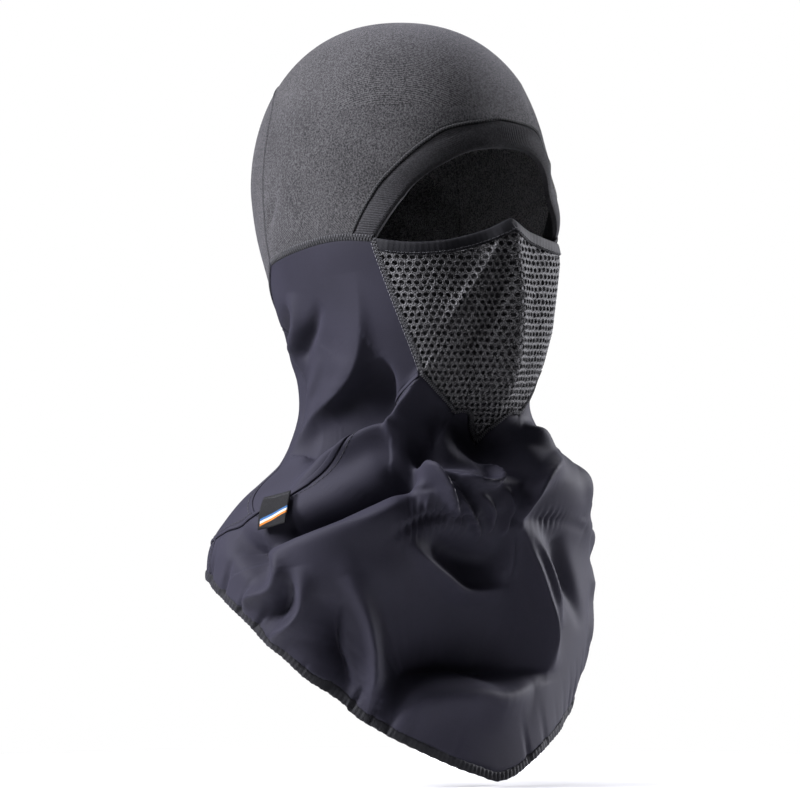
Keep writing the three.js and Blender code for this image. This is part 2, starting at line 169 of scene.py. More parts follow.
# ---------------------------------------------------------------- folds
# (width on the left of the stroke, width on its right, sharpness, [(bearing, height, rise mm)])
FOLDS = [
    # neck, wearer's right: the long fold from the cheek to the nape, and the facet under it
    (5, 20, 1.6, [(-57, 296, 0), (-55, 274, 1.5), (-55, 252, 5), (-60, 236, 8), (-74, 220, 9),
                  (-90, 209, 6), (-100, 195, 3), (-112, 180, 0)]),
    (4, 15, 1.8, [(-48, 246, -1), (-44, 232, -7), (-46, 212, -10), (-54, 203, -10),
                  (-68, 192, -9), (-84, 190, -3)]),
    (9, 2.5, 1.6, [(-30, 236, 3), (-35, 222, 8), (-39, 208, 8), (-41, 199, 2)]),
    (5, 6, 1.8, [(-37, 199, 3), (-44, 202, 7), (-53, 197, 8), (-64, 187, 7), (-73, 178, 4),
                 (-82, 170, 0)]),
    (6, 6, 1.8, [(-97, 284, 0), (-97, 264, 4), (-104, 249, 4.2), (-103, 234, 1.5), (-111, 214, 0)]),
    (7, 6, 2, [(-105, 269, -3), (-118, 256, -5), (-123, 239, -2)]),
    (4.5, 4.5, 2, [(-76, 278, 0), (-86, 262, -4), (-94, 250, -3)]),
    (12, 12, 2, [(-106, 254, 0), (-110, 240, -3), (-113, 224, -5), (-113, 206, -4),
                 (-108, 188, -2)]),
    (5, 5, 2, [(-79, 249, 0), (-92, 229, 2), (-102, 209, 0)]),
    # the deep valley where the neck turns out into the bib
    (6, 10, 1.9, [(-24, 198, -3), (-38, 180, -11), (-52, 165, -13), (-64, 154, -13),
                  (-74, 145, -9), (-84, 138, -2)]),
    (8, 8, 2, [(-97, 145, -2), (-85, 131, -8), (-78, 116, -1)]),
    (4.5, 27, 1.5, [(-84, 128, 1), (-72, 138, 6), (-60, 147, 8), (-46, 158, 8), (-34, 167, 2)]),
    # bib, wearer's right
    (5, 5, 1.8, [(-76, 134, 0), (-74, 122, 4), (-77, 112, 5), (-86, 107, 4), (-91, 98, 0)]),
    (6, 4.5, 1.8, [(-68, 126, 0), (-67, 111, 4), (-68, 99, 6), (-72, 90, 6), (-83, 80, 0)]),
    (5, 5, 2, [(-72, 113, -2), (-76, 101, -6), (-83, 92, -1)]),
    (5, 9, 1.8, [(-58, 108, 0), (-60, 92, -8), (-61, 76, -11), (-59, 60, -8), (-58, 46, -2)]),
    (7, 7, 1.8, [(-55, 122, 1), (-51, 103, 6), (-48, 84, 10), (-47, 60, 11), (-49, 38, 3)]),
    (20, 16, 2, [(-72, 116, 1), (-60, 118, 3), (-46, 122, 4), (-32, 128, 2)]),
    (42, 5, 1.3, [(-45, 28, -2), (-41, 44, -10), (-33, 58, -18), (-16, 63, -22), (2, 63, -18),
                  (12, 62, -9), (24, 60, 0)]),
    (6, 14, 2, [(-44, 32, 1), (-30, 47, 4), (0, 51, 5), (16, 51, 1)]),
    # bib, front and wearer's left
    (6, 5, 1.7, [(7, 148, 3), (14, 129, 7), (20, 106, 8), (24, 86, 7), (27, 56, 0)]),
    (5, 5, 1.7, [(8, 151, 0), (18, 136, 5), (25, 112, 6), (33, 84, 0)]),
    (6, 6, 2, [(28, 136, -2), (36, 116, -4), (44, 92, -1)]),
    # the mask's nose ridge
    (7, 11, 1.4, [(0, 330, 2), (1, 318, 4), (2, 296, 5), (3, 266, 4), (4, 236, 3), (4, 212, 0)]),
    # the facet beside the nose, and the crease that runs down from its bridge
    (10, 5, 2, [(0, 316, 0), (-2, 298, -4), (-5, 280, -5), (-9, 262, -4), (-14, 244, 0)]),
    (3, 4, 1.6, [(-1, 322, 0), (-6, 308, 2), (-11, 294, 2.6), (-17, 278, 2), (-24, 262, 0)]),
    # the mask tucks in towards the far cheek
    (11, 11, 2, [(22, 328, 0), (34, 319, -3), (43, 306, -4), (40, 284, -3), (34, 262, 0)]),
    # throat
    (2.3, 3.4, 1.8, [(-34, 190, 2), (-31, 182, 9), (-27, 172, 11), (-23, 159, 5), (-21, 152, 0)]),
    (6, 6, 2, [(-38, 197, -2), (-28, 193, -6), (-18, 189, -6), (-9, 185, -2)]),
    (7, 7, 2, [(-44, 188, -1), (-40, 178, -4), (-36, 166, -6), (-34, 157, -1)]),
    (5, 5, 2, [(-24, 184, -2), (-20, 170, -6), (-16, 160, -4)]),
    (1.7, 2.2, 1.6, [(-26, 184, 1), (-18, 176, 6), (-11, 173, 7), (-6, 176, 6), (-3, 188, 1)]),
    (1.7, 2.2, 1.6, [(-23, 178, 1), (-20, 166, 6), (-16, 156, 7), (-9, 141, 1)]),
    (2.5, 5, 1.6, [(5, 152, 2), (6, 163, 6), (12, 175, 8), (26, 188, 1)]),
    (4, 5, 2, [(16, 206, 1), (22, 201, 5), (29, 193, 1)]),
    (2.2, 2.2, 1.8, [(-14, 168, 0), (-9, 160, 4), (-6, 150, 3), (-5, 143, 0)]),
    (2.2, 2.2, 1.8, [(-3, 172, 0), (0, 162, 3), (0, 150, 3), (1, 141, 0)]),
    (7, 7, 2, [(35, 182, 1), (39, 174, 3), (45, 162, 1)]),
    (4, 6, 1.7, [(-37, 143, 1), (-32, 131, 5), (-22, 119, 6), (-12, 111, 6), (10, 112, 0)]),
    (8, 8, 2, [(-24, 135, -5), (-12, 129, -7), (-2, 127, -5)]),
    (4, 4, 1.8, [(3, 147, 2), (6, 131, 4), (9, 116, 0)]),
    (11, 11, 2, [(-20, 207, -4), (-6, 200, -8), (4, 190, -8), (8, 178, -2)]),
    # wearer's left, which hangs more quietly
    (9, 14, 1.8, [(60, 278, 0), (63, 250, 4), (70, 226, 5), (88, 206, 5), (104, 188, 0)]),
    (12, 12, 2, [(52, 244, -1), (54, 222, -5), (62, 204, -6), (82, 190, -2)]),
    (8, 7, 1.8, [(46, 206, 2), (60, 194, 5), (76, 176, 5), (90, 160, 1)]),
    (9, 9, 2, [(58, 160, 0), (66, 154, -6), (76, 146, -5), (88, 136, -1)]),
    (7, 7, 1.8, [(98, 284, 0), (102, 262, 4), (106, 240, 4), (114, 214, 0)]),
    (12, 7, 1.8, [(84, 128, 1), (68, 140, 5), (54, 146, 4), (44, 150, 1)]),
    (8, 6, 1.8, [(60, 126, 0), (62, 104, 4), (60, 82, 4), (64, 56, 0)]),
    (6, 8, 1.8, [(78, 122, 0), (80, 106, 4), (86, 94, 1)]),
    (9, 9, 2, [(70, 118, -1), (71, 100, -4), (72, 82, -1)]),
    (11, 11, 2, [(32, 406, 0), (33, 388, -3), (35, 374, -2.4), (41, 362, 0)]),
    (9, 13, 2, [(48, 356, 0), (50, 342, 3.6), (50, 330, 3.6), (50, 316, 1.5)]),
    (8, 8, 2, [(28, 229, -1), (30, 217, -3.8), (32, 207, -1)]),
    (10, 10, 2, [(49, 164, 0), (53, 152, -2.6), (58, 142, -3.8), (65, 131, -1.4), (67, 121, 0)]),
    (10, 10, 2, [(64, 112, -0.8), (63, 102, -2.8), (62, 88, -3), (61, 74, -1.6), (61, 62, 0)]),
    # nape and back
    (6, 7, 1.8, [(126, 226, 0), (145, 214, 4), (170, 210, 5), (200, 214, 4), (226, 224, 0)]),
    (7, 7, 2, [(130, 204, -1), (155, 196, -4), (185, 193, -4), (214, 199, -1)]),
    (6, 7, 1.8, [(134, 186, 0), (160, 178, 4), (184, 176, 4), (216, 182, 0)]),
    (7, 7, 2, [(128, 164, -1), (160, 158, -4), (196, 158, -4), (228, 166, -1)]),
    (9, 9, 1.8, [(132, 262, 0), (134, 236, 4), (128, 206, 3), (122, 180, 0)]),
    (9, 9, 1.8, [(228, 262, 0), (226, 236, 3), (233, 206, 3), (238, 182, 0)]),
    # inside the cap, seen through the eye opening
    (7, 7, 2, [(163, 372, 0), (150, 355, -1.6), (136, 338, -2), (124, 322, -1)]),
    (6, 7, 2, [(146, 375, 0), (132, 358, 1.4), (118, 340, 1.4), (108, 322, 1)]),
    # the cap's one crease behind the temple
    (3.5, 3.5, 2, [(-100, 343, 0), (-107, 330, -1.4), (-111, 317, 0)]),
    (4, 4, 2, [(104, 340, 0), (109, 328, -1), (112, 316, 0)])]
SUBSTEPS = 5
FOLD_DEPTH, BIB_FOLD_DEPTH = 1.25, 1.65
FOLD_MARGIN = 2.6  # widths from its track at which a fold has faded out
GATHER_PITCH, GATHER_RISE = 4.8, 2.3
HEM_PITCH, HEM_DEPTH = 14, 3.2
FACE_TURN = 4.0
HEM_FRONT = [(0, 0), (12, 2), (25, 9.4), (40, 21), (53, 33), (62, 45), (70, 56.5), (76, 68),
             (83, 80), (90, 92), (99, 103.5), (112, 114.5)]
HEM_BACK = [(112, 114.5), (140, 118), (180, 114)]
GATHER_LINE = [(-45, 143), (-36, 152), (-24, 155), (-13, 151), (0, 154), (10, 152), (24, 151),
               (44, 145)]


def smooth_line(points, substeps):
    """Catmull-Rom curve through the points, as rows of numbers."""
    points = np.asarray(points, float)
    count = (len(points) - 1) * substeps + 1
    return spline(points, np.linspace(0, 1, count))


def spline(points, share):
    """Points of the Catmull-Rom curve at shares from 0 to 1 of its spans."""
    last = len(points) - 1
    spot = np.clip(share, 0, 1) * last
    index = np.minimum(np.floor(spot).astype(int), last)
    weight = (spot - index)[:, None]
    before = points[np.where(index == 0, index, index - 1)]
    here = points[index]
    after = points[np.minimum(index + 1, last)]
    later = points[np.minimum(index + 2, last)]
    slope, slope_after = (after - before) / 2, (later - here) / 2
    return ((2 * here - 2 * after + slope + slope_after) * weight ** 3
            + (-3 * here + 3 * after - 2 * slope - slope_after) * weight ** 2
            + slope * weight + here)


def nearest(bearing, height, scale, track):
    """Distance to a track, positive on its left, and the track's value there."""
    best = np.full(len(bearing), 1e9)
    value = np.zeros(len(bearing))
    side = np.ones(len(bearing))
    for start, end in zip(track[:-1], track[1:]):
        run_x, run_y = (end[0] - start[0]) * scale, end[1] - start[1]
        off_x, off_y = (bearing - start[0]) * scale, height - start[1]
        share = np.clip((off_x * run_x + off_y * run_y) / (run_x ** 2 + run_y ** 2 + 1e-9), 0, 1)
        gap = np.hypot(off_x - share * run_x, off_y - share * run_y)
        closer = gap < best
        best = np.where(closer, gap, best)
        value = np.where(closer, start[2] + share * (end[2] - start[2]), value)
        side = np.where(closer, run_x * off_y - run_y * off_x, side)
    return best * np.sign(side), value


TRACKS = [(left, right, power, smooth_line(points, SUBSTEPS))
          for left, right, power, points in FOLDS]
GATHER_TRACK = smooth_line([(b, h, 0) for b, h in GATHER_LINE], SUBSTEPS)
HEM_RISE = smooth_line(HEM_FRONT + HEM_BACK[1:], 4)


def walked_track(points, scale):
    """The points with the length walked to each, at a fixed scale of mm per degree."""
    steps = np.hypot(np.diff(points[:, 0]) * scale, np.diff(points[:, 1]))
    return np.column_stack([points, np.concatenate([[0], np.cumsum(steps)])])


HEM_TRACK = walked_track(HEM_RISE, 1.7)
# slow swells of the neck and bib: turns, climb, phase and lean
WAVES = [(rng.uniform(1.2, 4.2), rng.uniform(0.02, 0.075), rng.uniform(0, 6.28), rng.uniform(-1, 1))
         for _ in range(14)]


def soft_step(value, start, end):
    share = np.clip((value - start) / (end - start), 0, 1)
    return share * share * (3 - 2 * share)


def relief(bearing, climb):
    """Rise of the folded cloth over the plain skin, in mm."""
    height = height_of(climb)
    scale = arc_scale(bearing, climb, 20)
    total = np.zeros(len(bearing))
    for left, right, power, track in TRACKS:
        margin = FOLD_MARGIN * max(left, right)
        middle = (track[:, 0].min() + track[:, 0].max()) / 2
        turned = facing_of(bearing - middle) + middle
        near = ((turned > track[:, 0].min() - margin / scale)
                & (turned < track[:, 0].max() + margin / scale)
                & (height > track[:, 1].min() - margin) & (height < track[:, 1].max() + margin))
        if not near.any():
            continue
        gap, rise = nearest(turned[near], height[near], scale[near], track)
        width = np.where(gap > 0, left, right)
        depth = FOLD_DEPTH + (BIB_FOLD_DEPTH - FOLD_DEPTH) * soft_step(height[near], 215, 190)
        total[near] += depth * rise * np.exp(-np.abs(gap / width) ** power)
    # swells, everywhere below the cap but on the mask
    facing = facing_of(bearing)
    below_mask = np.clip((212 - height) / 6, 0, 1)
    soft = (np.clip((312 - height) / 20, 0, 1)
            * np.clip((np.abs(facing) - 24) / 10 + below_mask, 0, 1))
    drift = sum(lean * np.sin(turns * np.radians(facing) * 2 + rise * height + phase)
                for turns, rise, phase, lean in WAVES) / 6
    total += drift * soft
    # the gathers along the throat's elastic, which lies in a groove
    near = (np.abs(facing) < 50) & (np.abs(height - 150) < 32)
    if near.any():
        gap, _ = nearest(facing[near], height[near], scale[near], GATHER_TRACK)
        along = facing[near] * scale[near]
        fade = np.clip((46 - np.abs(facing[near])) / 6, 0, 1)
        left_crowd = 0.28 * bell(facing[near] - 20, 6)
        crowd = bell(facing[near] + 28, 12) + left_crowd
        pucker = np.sin(along * 2 * math.pi / GATHER_PITCH + 1.7 * np.sin(along / 9)) * GATHER_RISE
        length = np.where(facing[near] > 0, 5, 8)
        total[near] += fade * (crowd * pucker * np.exp(-(gap / length) ** 2)
                               - (0.8 + 2.2 * crowd) * bell(gap, 2.8))
    # the gathers along the hem
    hemmed = np.interp(np.abs(facing), HEM_RISE[:, 0], HEM_RISE[:, 1])
    near = height < hemmed + 40
    if near.any():
        gap, walked = nearest(np.abs(facing[near]), height[near], scale[near], HEM_TRACK)
        walked = walked * np.sign(facing[near])
        wave = np.sin(walked * 2 * math.pi / HEM_PITCH + 1.6 * np.sin(walked / 13))
        pinch = -np.clip(wave, 0, 1) ** 3 * (0.55 + 0.45 * np.sin(walked / 17 + 1))
        rest = np.abs(gap) / 6.5
        quiet = np.clip((np.abs(walked) - 22) / 14, 0, 1)
        total[near] += HEM_DEPTH * quiet * pinch * rest * np.exp(1 - rest)
    return total


def hem_lift(facing):
    """How far the hem is drawn up on each side of its tip, in mm."""
    right = 3.4 * (1 - bell(facing, 7)) * soft_step(facing, -125, -95)
    left = 8.5 * (1 - bell(facing, 17)) * soft_step(facing, 66, 40)
    return np.where(facing < 0, right, left)


def place(bearing, climb, offset):
    """Points in metres in the row frame, at an offset in mm outside the folded skin."""
    bearing, climb = np.asarray(bearing, float).ravel(), np.asarray(climb, float).ravel()
    offset = np.broadcast_to(np.asarray(offset, float).ravel(), bearing.shape)
    offset = offset + relief(bearing, climb)
    spot = skin_point(bearing, climb) + skin_normal(bearing, climb) * offset[:, None]
    facing = facing_of(bearing)
    height = height_of(climb)
    spot[:, 2] += hem_lift(facing) * np.clip((110 - height) / 70, 0, 1) - ROW_DROP
    turn = (np.radians(FACE_TURN) * bell(facing, 42) * soft_step(height, 168, 205)
            * soft_step(height, 362, 322))
    x, y = spot[:, 0].copy(), spot[:, 1].copy()
    spot[:, 0] = x * np.cos(turn) + y * np.sin(turn)
    spot[:, 1] = y * np.cos(turn) - x * np.sin(turn)
    return spot * MM


# Length along the skin from the front, so that weaves and mesh holes keep their real size
ARC_BEARINGS = np.linspace(0, 180, 181)
ARC_CLIMBS = np.linspace(-10, CLIMB_TOP, 128)


def arc_table():
    """Length along the skin from the front to each bearing, one row per climb."""
    grid_b, grid_c = np.meshgrid(ARC_BEARINGS, ARC_CLIMBS)
    spots = skin_point(grid_b.ravel(), grid_c.ravel()).reshape(*grid_b.shape, 3)
    steps = np.linalg.norm(np.diff(spots, axis=1), axis=2)
    return np.concatenate([np.zeros((len(ARC_CLIMBS), 1)), np.cumsum(steps, axis=1)], axis=1)


ARCS = arc_table()


def arc_length(bearing, climb):
    facing = facing_of(np.asarray(bearing, float))
    column = np.clip(np.abs(facing), 0, 179.999)
    row = np.clip((climb - ARC_CLIMBS[0]) / (ARC_CLIMBS[1] - ARC_CLIMBS[0]), 0,
                  len(ARC_CLIMBS) - 1.001)
    i, j = row.astype(int), column.astype(int)
    a, b = row - i, column - j
    value = ((1 - a) * ((1 - b) * ARCS[i, j] + b * ARCS[i, j + 1])
             + a * ((1 - b) * ARCS[i + 1, j] + b * ARCS[i + 1, j + 1]))
    return value * np.sign(facing)


def bearing_at(arc, climb):
    """The bearing at a length along the skin, found by halving."""
    low, high = np.zeros(len(arc)), np.full(len(arc), 180.0)
    for _ in range(18):
        middle = (low + high) / 2
        short = arc_length(middle, climb) < np.abs(arc)
        low, high = np.where(short, middle, low), np.where(short, high, middle)
    return low * np.sign(arc)


# ---------------------------------------------------------------- seam lines
# A path gives the (bearing, climb) places at shares from 0 to 1 of its length.
def as_row(values):
    return np.atleast_1d(np.asarray(values, float))


def line(*places):
    points = np.array([(b, float(climb_of(h))) for b, h in places], float)
    return lambda share: spline(points, as_row(share))


def straight(start, end):
    return lambda share: start + (end - start) * as_row(share)[:, None]


def reversed_(path):
    return lambda share: path(1 - np.asarray(share, float))


def flipped(path):
    return lambda share: path(share) * np.array([-1, 1])


def wrapped(path):
    return lambda share: path(share) * np.array([-1, 1]) + np.array([360, 0])


def chain(*links):
    """Paths one after another, each with its share of the length as a number of cells."""
    total = sum(cells for _, cells in links)

    def follow(share):
        rest = np.clip(as_row(share), 0, 1) * total
        result, done = np.zeros((len(rest), 2)), 0
        for index, (path, cells) in enumerate(links):
            last = index == len(links) - 1
            inside = (rest >= done - 1e-9) & ((rest < done + cells) | last)
            if inside.any():
                result[inside] = path(np.clip((rest[inside] - done) / cells, 0, 1))
            done += cells
        return result
    return follow


def mirror_chain(*links):
    return chain(*[(reversed_(flipped(path)), cells) for path, cells in reversed(links)], *links)


def wrap_chain(*links):
    return chain(*links, *[(reversed_(wrapped(path)), cells) for path, cells in reversed(links)])


def beside(path, share, distance):
    """Places at a distance in mm to the left of the path."""
    share = as_row(share)
    ahead, behind = path(np.minimum(share + 0.01, 1)), path(np.maximum(share - 0.01, 0))
    middle = path(share)
    scale = arc_scale(middle[:, 0], middle[:, 1], 8)
    right, up = (ahead[:, 0] - behind[:, 0]) * scale, ahead[:, 1] - behind[:, 1]
    length = np.hypot(right, up)
    return np.stack([middle[:, 0] - up / length * distance / scale,
                     middle[:, 1] + right / length * distance], 1)


def beside_line(path, distance):
    return lambda share: beside(path, share, distance)


brow_top = line((0, 385), (20, 380), (30, 372), (40, 359), (50, 340), (58, 316))
eye_top = line((0, 368), (14, 365.5), (28, 354), (38, 338), (48, 315))
band_foot = line((48, 315), (58, 316))
mask_top = line((0, 325), (9, 319), (22, 313.8), (35, 312.8), (47, 315))
cap_foot = line((58, 316), (69, 315), (86, 310.6), (112, 302))
back_side = line((112, 302), (113.5, 325), (114.5, 350), (116, 375))
back_top = line((116, 375), (123, 394), (146, 406), (180, 409))
nape_upper = line((112, 302), (119, 291), (126, 281))
nape_lower = line((126, 281), (140, 263), (160, 243), (180, 236))
mask_corner = line((46.4, 307.5), (48, 315))
mask_side = line((29, 239), (38.6, 276), (46.4, 307.5))
chin_side = line((14.5, 214), (22, 226), (29, 239))
chin_tip = line((0, 199.5), (4, 206), (9, 214), (14.5, 214))
neck_foot = line((29, 239), (42.7, 218), (65, 182), (80, 166.5), (92, 155))
shoulder_top = line((92, 155), (102, 147), (112, 141))
nape_foot = line((112, 141), (145, 132), (180, 130))
neck_side = line((92, 155), (102, 168), (110, 190), (115, 220), (120, 250), (126, 281))
hem_front, hem_back = line(*HEM_FRONT), line(*HEM_BACK)
throat_line = line((0, 151), (20, 152), (42, 146))


# ---------------------------------------------------------------- meshes
SEAM_GAP = 0.15
EDGE_ROUND = 1.3
USUAL_SCALE = 90 * math.pi / 180  # mm per degree at a radius of 90 mm
THREAD_SIDES = 5


def make_object(name, verts, faces, materials, face_materials=None, uvs=None, flat_faces=0):
    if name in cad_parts:
        name += "_cloth"
    mesh = bpy.data.meshes.new(name)
    verts = np.asarray(verts, np.float32)
    faces = [np.asarray(group, np.int32) for group in faces if len(group)]
    loops = np.concatenate([group.ravel() for group in faces])
    sizes = np.concatenate([np.full(len(group), group.shape[1]) for group in faces])
    starts = np.concatenate([[0], np.cumsum(sizes)[:-1]])
    mesh.vertices.add(len(verts))
    mesh.vertices.foreach_set("co", verts.ravel())
    mesh.loops.add(len(loops))
    mesh.loops.foreach_set("vertex_index", loops)
    mesh.polygons.add(len(sizes))
    mesh.polygons.foreach_set("loop_start", starts.astype(np.int32))
    mesh.polygons.foreach_set("loop_total", sizes.astype(np.int32))
    for material in materials:
        mesh.materials.append(material)
    if face_materials is not None:
        mesh.polygons.foreach_set("material_index", np.asarray(face_materials, np.int32))
    mesh.polygons.foreach_set("use_smooth", np.arange(len(sizes)) < len(sizes) - flat_faces)
    if uvs is not None:
        layer = mesh.uv_layers.new(name="cloth")
        layer.data.foreach_set("uv", np.asarray(uvs, np.float32)[loops].ravel())
    mesh.update(calc_edges=True)
    mesh.validate()
    obj = bpy.data.objects.new(name, mesh)
    bpy.context.scene.collection.objects.link(obj)
    return obj


def grid_faces(columns, rows, start=0, flip=False, wrap=False):
    """Quads of a grid of points stored row by row; wrap joins the last column to the first."""
    across = columns if wrap else columns - 1
    i, j = np.meshgrid(np.arange(across), np.arange(rows - 1))
    i, j = i.ravel(), j.ravel()
    k = (i + 1) % columns
    quads = np.stack([j * columns + i, j * columns + k, (j + 1) * columns + k,
                      (j + 1) * columns + i], 1) + start
    return quads[:, ::-1] if flip else quads


def rim_of(index):
    """The border of a grid of point numbers, as one closed loop."""
    return np.concatenate([index[0], index[1:, -1], index[-1, -2::-1], index[-2::-1, 0]])


def finish_piece(obj, body, nodes):
    if nodes:
        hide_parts(*nodes)
    if body:
        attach(obj, body)
    return obj


def coons(outline, across, up):
    """Places inside four paths: foot and top run across, start and end run up."""
    foot, top, start, end = (outline[key] for key in ("foot", "top", "start", "end"))
    foot_start, foot_end = foot(0.0)[0], foot(1.0)[0]
    top_start, top_end = top(0.0)[0], top(1.0)[0]
    a, b = across[:, None], up[:, None]
    return (foot(across) * (1 - b) + top(across) * b + start(up) * (1 - a) + end(up) * a
            - foot_start * (1 - a) * (1 - b) - foot_end * a * (1 - b)
            - top_start * (1 - a) * b - top_end * a * b)


def sheet_shell(name, spots, columns, rows, thickness, materials, edge_drop, ridge=None):
    """Closed two-layer cloth over a grid of (bearing, climb), with its edges turned in."""
    outer = place(spots[:, 0], spots[:, 1], 0.0)
    grid = outer.reshape(rows, columns, 3)
    run = np.linalg.norm(np.diff(grid, axis=1), axis=2) / MM
    left = np.concatenate([np.zeros((rows, 1)), np.cumsum(run, axis=1)], axis=1)
    rise = np.linalg.norm(np.diff(grid, axis=0), axis=2) / MM
    low = np.concatenate([np.zeros((1, columns)), np.cumsum(rise, axis=0)], axis=0)
    edge = np.min([left, left[:, -1:] - left, low, low[-1:] - low], axis=0).ravel()
    lift = -edge_drop * np.exp(-(edge / EDGE_ROUND) ** 2)
    if ridge is not None:
        lift = lift + ridge(spots, left.ravel(), low.ravel())
    outer = place(spots[:, 0], spots[:, 1], lift)
    inner = place(spots[:, 0], spots[:, 1], np.minimum(lift, 0) - thickness)
    count = len(outer)
    rim = rim_of(np.arange(count).reshape(rows, columns))
    faces = [grid_faces(columns, rows), grid_faces(columns, rows, count, flip=True),
             np.stack([rim[1:], rim[:-1], rim[:-1] + count, rim[1:] + count], 1)]
    outer_faces, rim_faces = len(faces[0]), len(faces[2])
    face_materials = [0] * outer_faces + [1] * outer_faces + [0] * rim_faces
    arc = arc_length(spots[:, 0], spots[:, 1])
    uvs = np.tile(np.stack([arc, spots[:, 1]], 1), (2, 1))
    return make_object(name, np.concatenate([outer, inner]), faces, materials, face_materials, uvs,
                       rim_faces)


def panel(name, outline, columns, rows, thickness, materials, edge_drop=0.9, ridge=None,
          body="hood"):
    """A sheet inside an outline, a small gap away from its seams."""
    across, up = np.meshgrid(np.linspace(0, 1, columns), np.linspace(0, 1, rows))
    corners = coons(outline, np.array([0, 1, 0, 1.0]), np.array([0, 0, 1, 1.0]))
    spans = np.abs(corners[1] - corners[0])[0], np.abs(corners[3] - corners[2])[0]
    width = max(spans) * USUAL_SCALE
    tall = max(np.ptp(outline["start"](np.array([0, 1.0]))[:, 1]), 20)
    inset = [SEAM_GAP / width, SEAM_GAP / tall]
    across = inset[0] + across * (1 - 2 * inset[0])
    up = inset[1] + up * (1 - 2 * inset[1])
    spots = coons(outline, across.ravel(), up.ravel())
    obj = sheet_shell(name, spots, columns, rows, thickness, materials, edge_drop, ridge=ridge)
    return finish_piece(obj, body, [name])


def mirrored(outline):
    return {"foot": reversed_(flipped(outline["foot"])), "top": reversed_(flipped(outline["top"])),
            "start": flipped(outline["end"]), "end": flipped(outline["start"])}


class Track:
    """A seam line walked by real length: point(s, side, lift) is in metres."""

    def __init__(self, path, start=0.0, end=1.0):
        self.path = path
        self.shares = np.linspace(start, end, 400)
        spots = path(self.shares)
        points = place(spots[:, 0], spots[:, 1], 0) / MM
        steps = np.linalg.norm(np.diff(points, axis=0), axis=1)
        self.walked = np.concatenate([[0], np.cumsum(steps)])
        self.length = self.walked[-1]

    def spots(self, walked, side):
        walked, side = np.broadcast_arrays(np.asarray(walked, float), np.asarray(side, float))
        share = np.interp(walked.ravel(), self.walked, self.shares)
        return beside(self.path, share, side.ravel())

    def point(self, walked, side, lift):
        spots = self.spots(walked, side)
        return place(spots[:, 0], spots[:, 1], np.broadcast_to(lift, np.shape(walked)).ravel())


def sweep(name, track, step, profile, materials, body):
    """Closed band along a track; profile(walked) gives (side, lift) rows round the band."""
    count = max(int(track.length / step), 4)
    walked = np.linspace(0, track.length, count)
    loops = np.stack([profile(w) for w in walked])
    around = loops.shape[1]
    grid_walked = np.repeat(walked, around)
    spots = track.spots(grid_walked, loops[:, :, 0].ravel())
    points = place(spots[:, 0], spots[:, 1], loops[:, :, 1].ravel())
    faces = [grid_faces(around, count, 0, flip=True, wrap=True)]
    faces += [np.arange(around)[None, :], (np.arange(around)[::-1] + (count - 1) * around)[None, :]]
    across = np.tile(np.arange(around) / around * 12, count)
    uvs = np.stack([grid_walked, across], 1)
    obj = make_object(name, points, faces, materials, uvs=uvs)
    return finish_piece(obj, body, [name])


def flat_loop(half_width, low, high, corner=0.35, shift=0.0):
    """Rounded flat cross-section, wound for sweep."""
    turns = np.radians(np.arange(0, 360, 22.5) + 11.25)
    side = np.sign(np.cos(turns)) * np.abs(np.cos(turns)) ** corner * half_width + shift
    bulge = np.sign(np.sin(turns)) * np.abs(np.sin(turns)) ** 0.6
    return np.stack([side, (low + high) / 2 + bulge * (high - low) / 2], 1)


def tube_points(points, radius):
    """Rings of points round a line of points."""
    tangent = np.gradient(points, axis=0)
    tangent /= np.linalg.norm(tangent, axis=1)[:, None] + 1e-12
    away = points * np.array([1, 1, 0.3])
    away /= np.linalg.norm(away, axis=1)[:, None] + 1e-12
    side = np.cross(tangent, away)
    side /= np.linalg.norm(side, axis=1)[:, None] + 1e-12
    top = np.cross(side, tangent)
    turns = np.arange(THREAD_SIDES) * 2 * math.pi / THREAD_SIDES
    ring = (points[:, None, :] + (np.cos(turns)[None, :, None] * side[:, None, :]
                                  + np.sin(turns)[None, :, None] * top[:, None, :]) * radius)
    return ring.reshape(-1, 3)


def threads(name, runs, radius, material, body):
    """Sewing threads: each run is a line of points in metres."""
    verts, faces, caps, start = [], [], [], 0
    end = np.arange(THREAD_SIDES)
    for run in runs:
        rings = tube_points(run, radius * MM)
        faces.append(grid_faces(THREAD_SIDES, len(run), start, wrap=True))
        caps += [end[::-1] + start, end + start + len(rings) - THREAD_SIDES]
        verts.append(rings)
        start += len(rings)
    verts = np.concatenate(verts)
    obj = make_object(name, verts, [np.concatenate(faces), np.array(caps)], [material],
                      uvs=verts[:, :2] * 1000)
    return finish_piece(obj, body, [])


def zigzag(track, half_width, pitch, lift):
    """Ladder of overlock thread: rounded zigzag whose bars lie across the seam."""
    corner = np.arange(int(track.length / pitch * 2) + 1)
    walked = (np.repeat(corner, 2) * pitch / 2)[1:-1]
    side = np.where(np.arange(len(walked)) // 2 % 2 == 0, -1.0, 1.0) * half_width
    side = np.roll(side, 1)
    bow = np.linspace(0, 1, 4, endpoint=False)
    fine_walked = (walked[:-1, None] + np.diff(walked)[:, None] * bow).ravel()
    fine_side = (side[:-1, None] + np.diff(side)[:, None] * bow).ravel()
    hump = 0.35 * (1 - (fine_side / half_width) ** 2)
    return track.point(fine_walked, fine_side, lift + hump)


def running_stitch(track, side, stitch, gap, lift):
    """Topstitching: short arched stitches with small gaps."""
    runs = []
    for start in np.arange(1, track.length - stitch, stitch + gap):
        share = np.linspace(0, 1, 6)
        arch = 0.28 * np.sin(share * math.pi) ** 0.5 - 0.2
        runs.append(track.point(start + share * stitch, np.full(6, side), lift + arch))
    return runs


# ---------------------------------------------------------------- materials
def new_material(name):
    material = bpy.data.materials.new(name)
    material.use_nodes = True
    tree = material.node_tree
    shader = next(node for node in tree.nodes if node.type == "BSDF_PRINCIPLED")
    return material, tree, shader


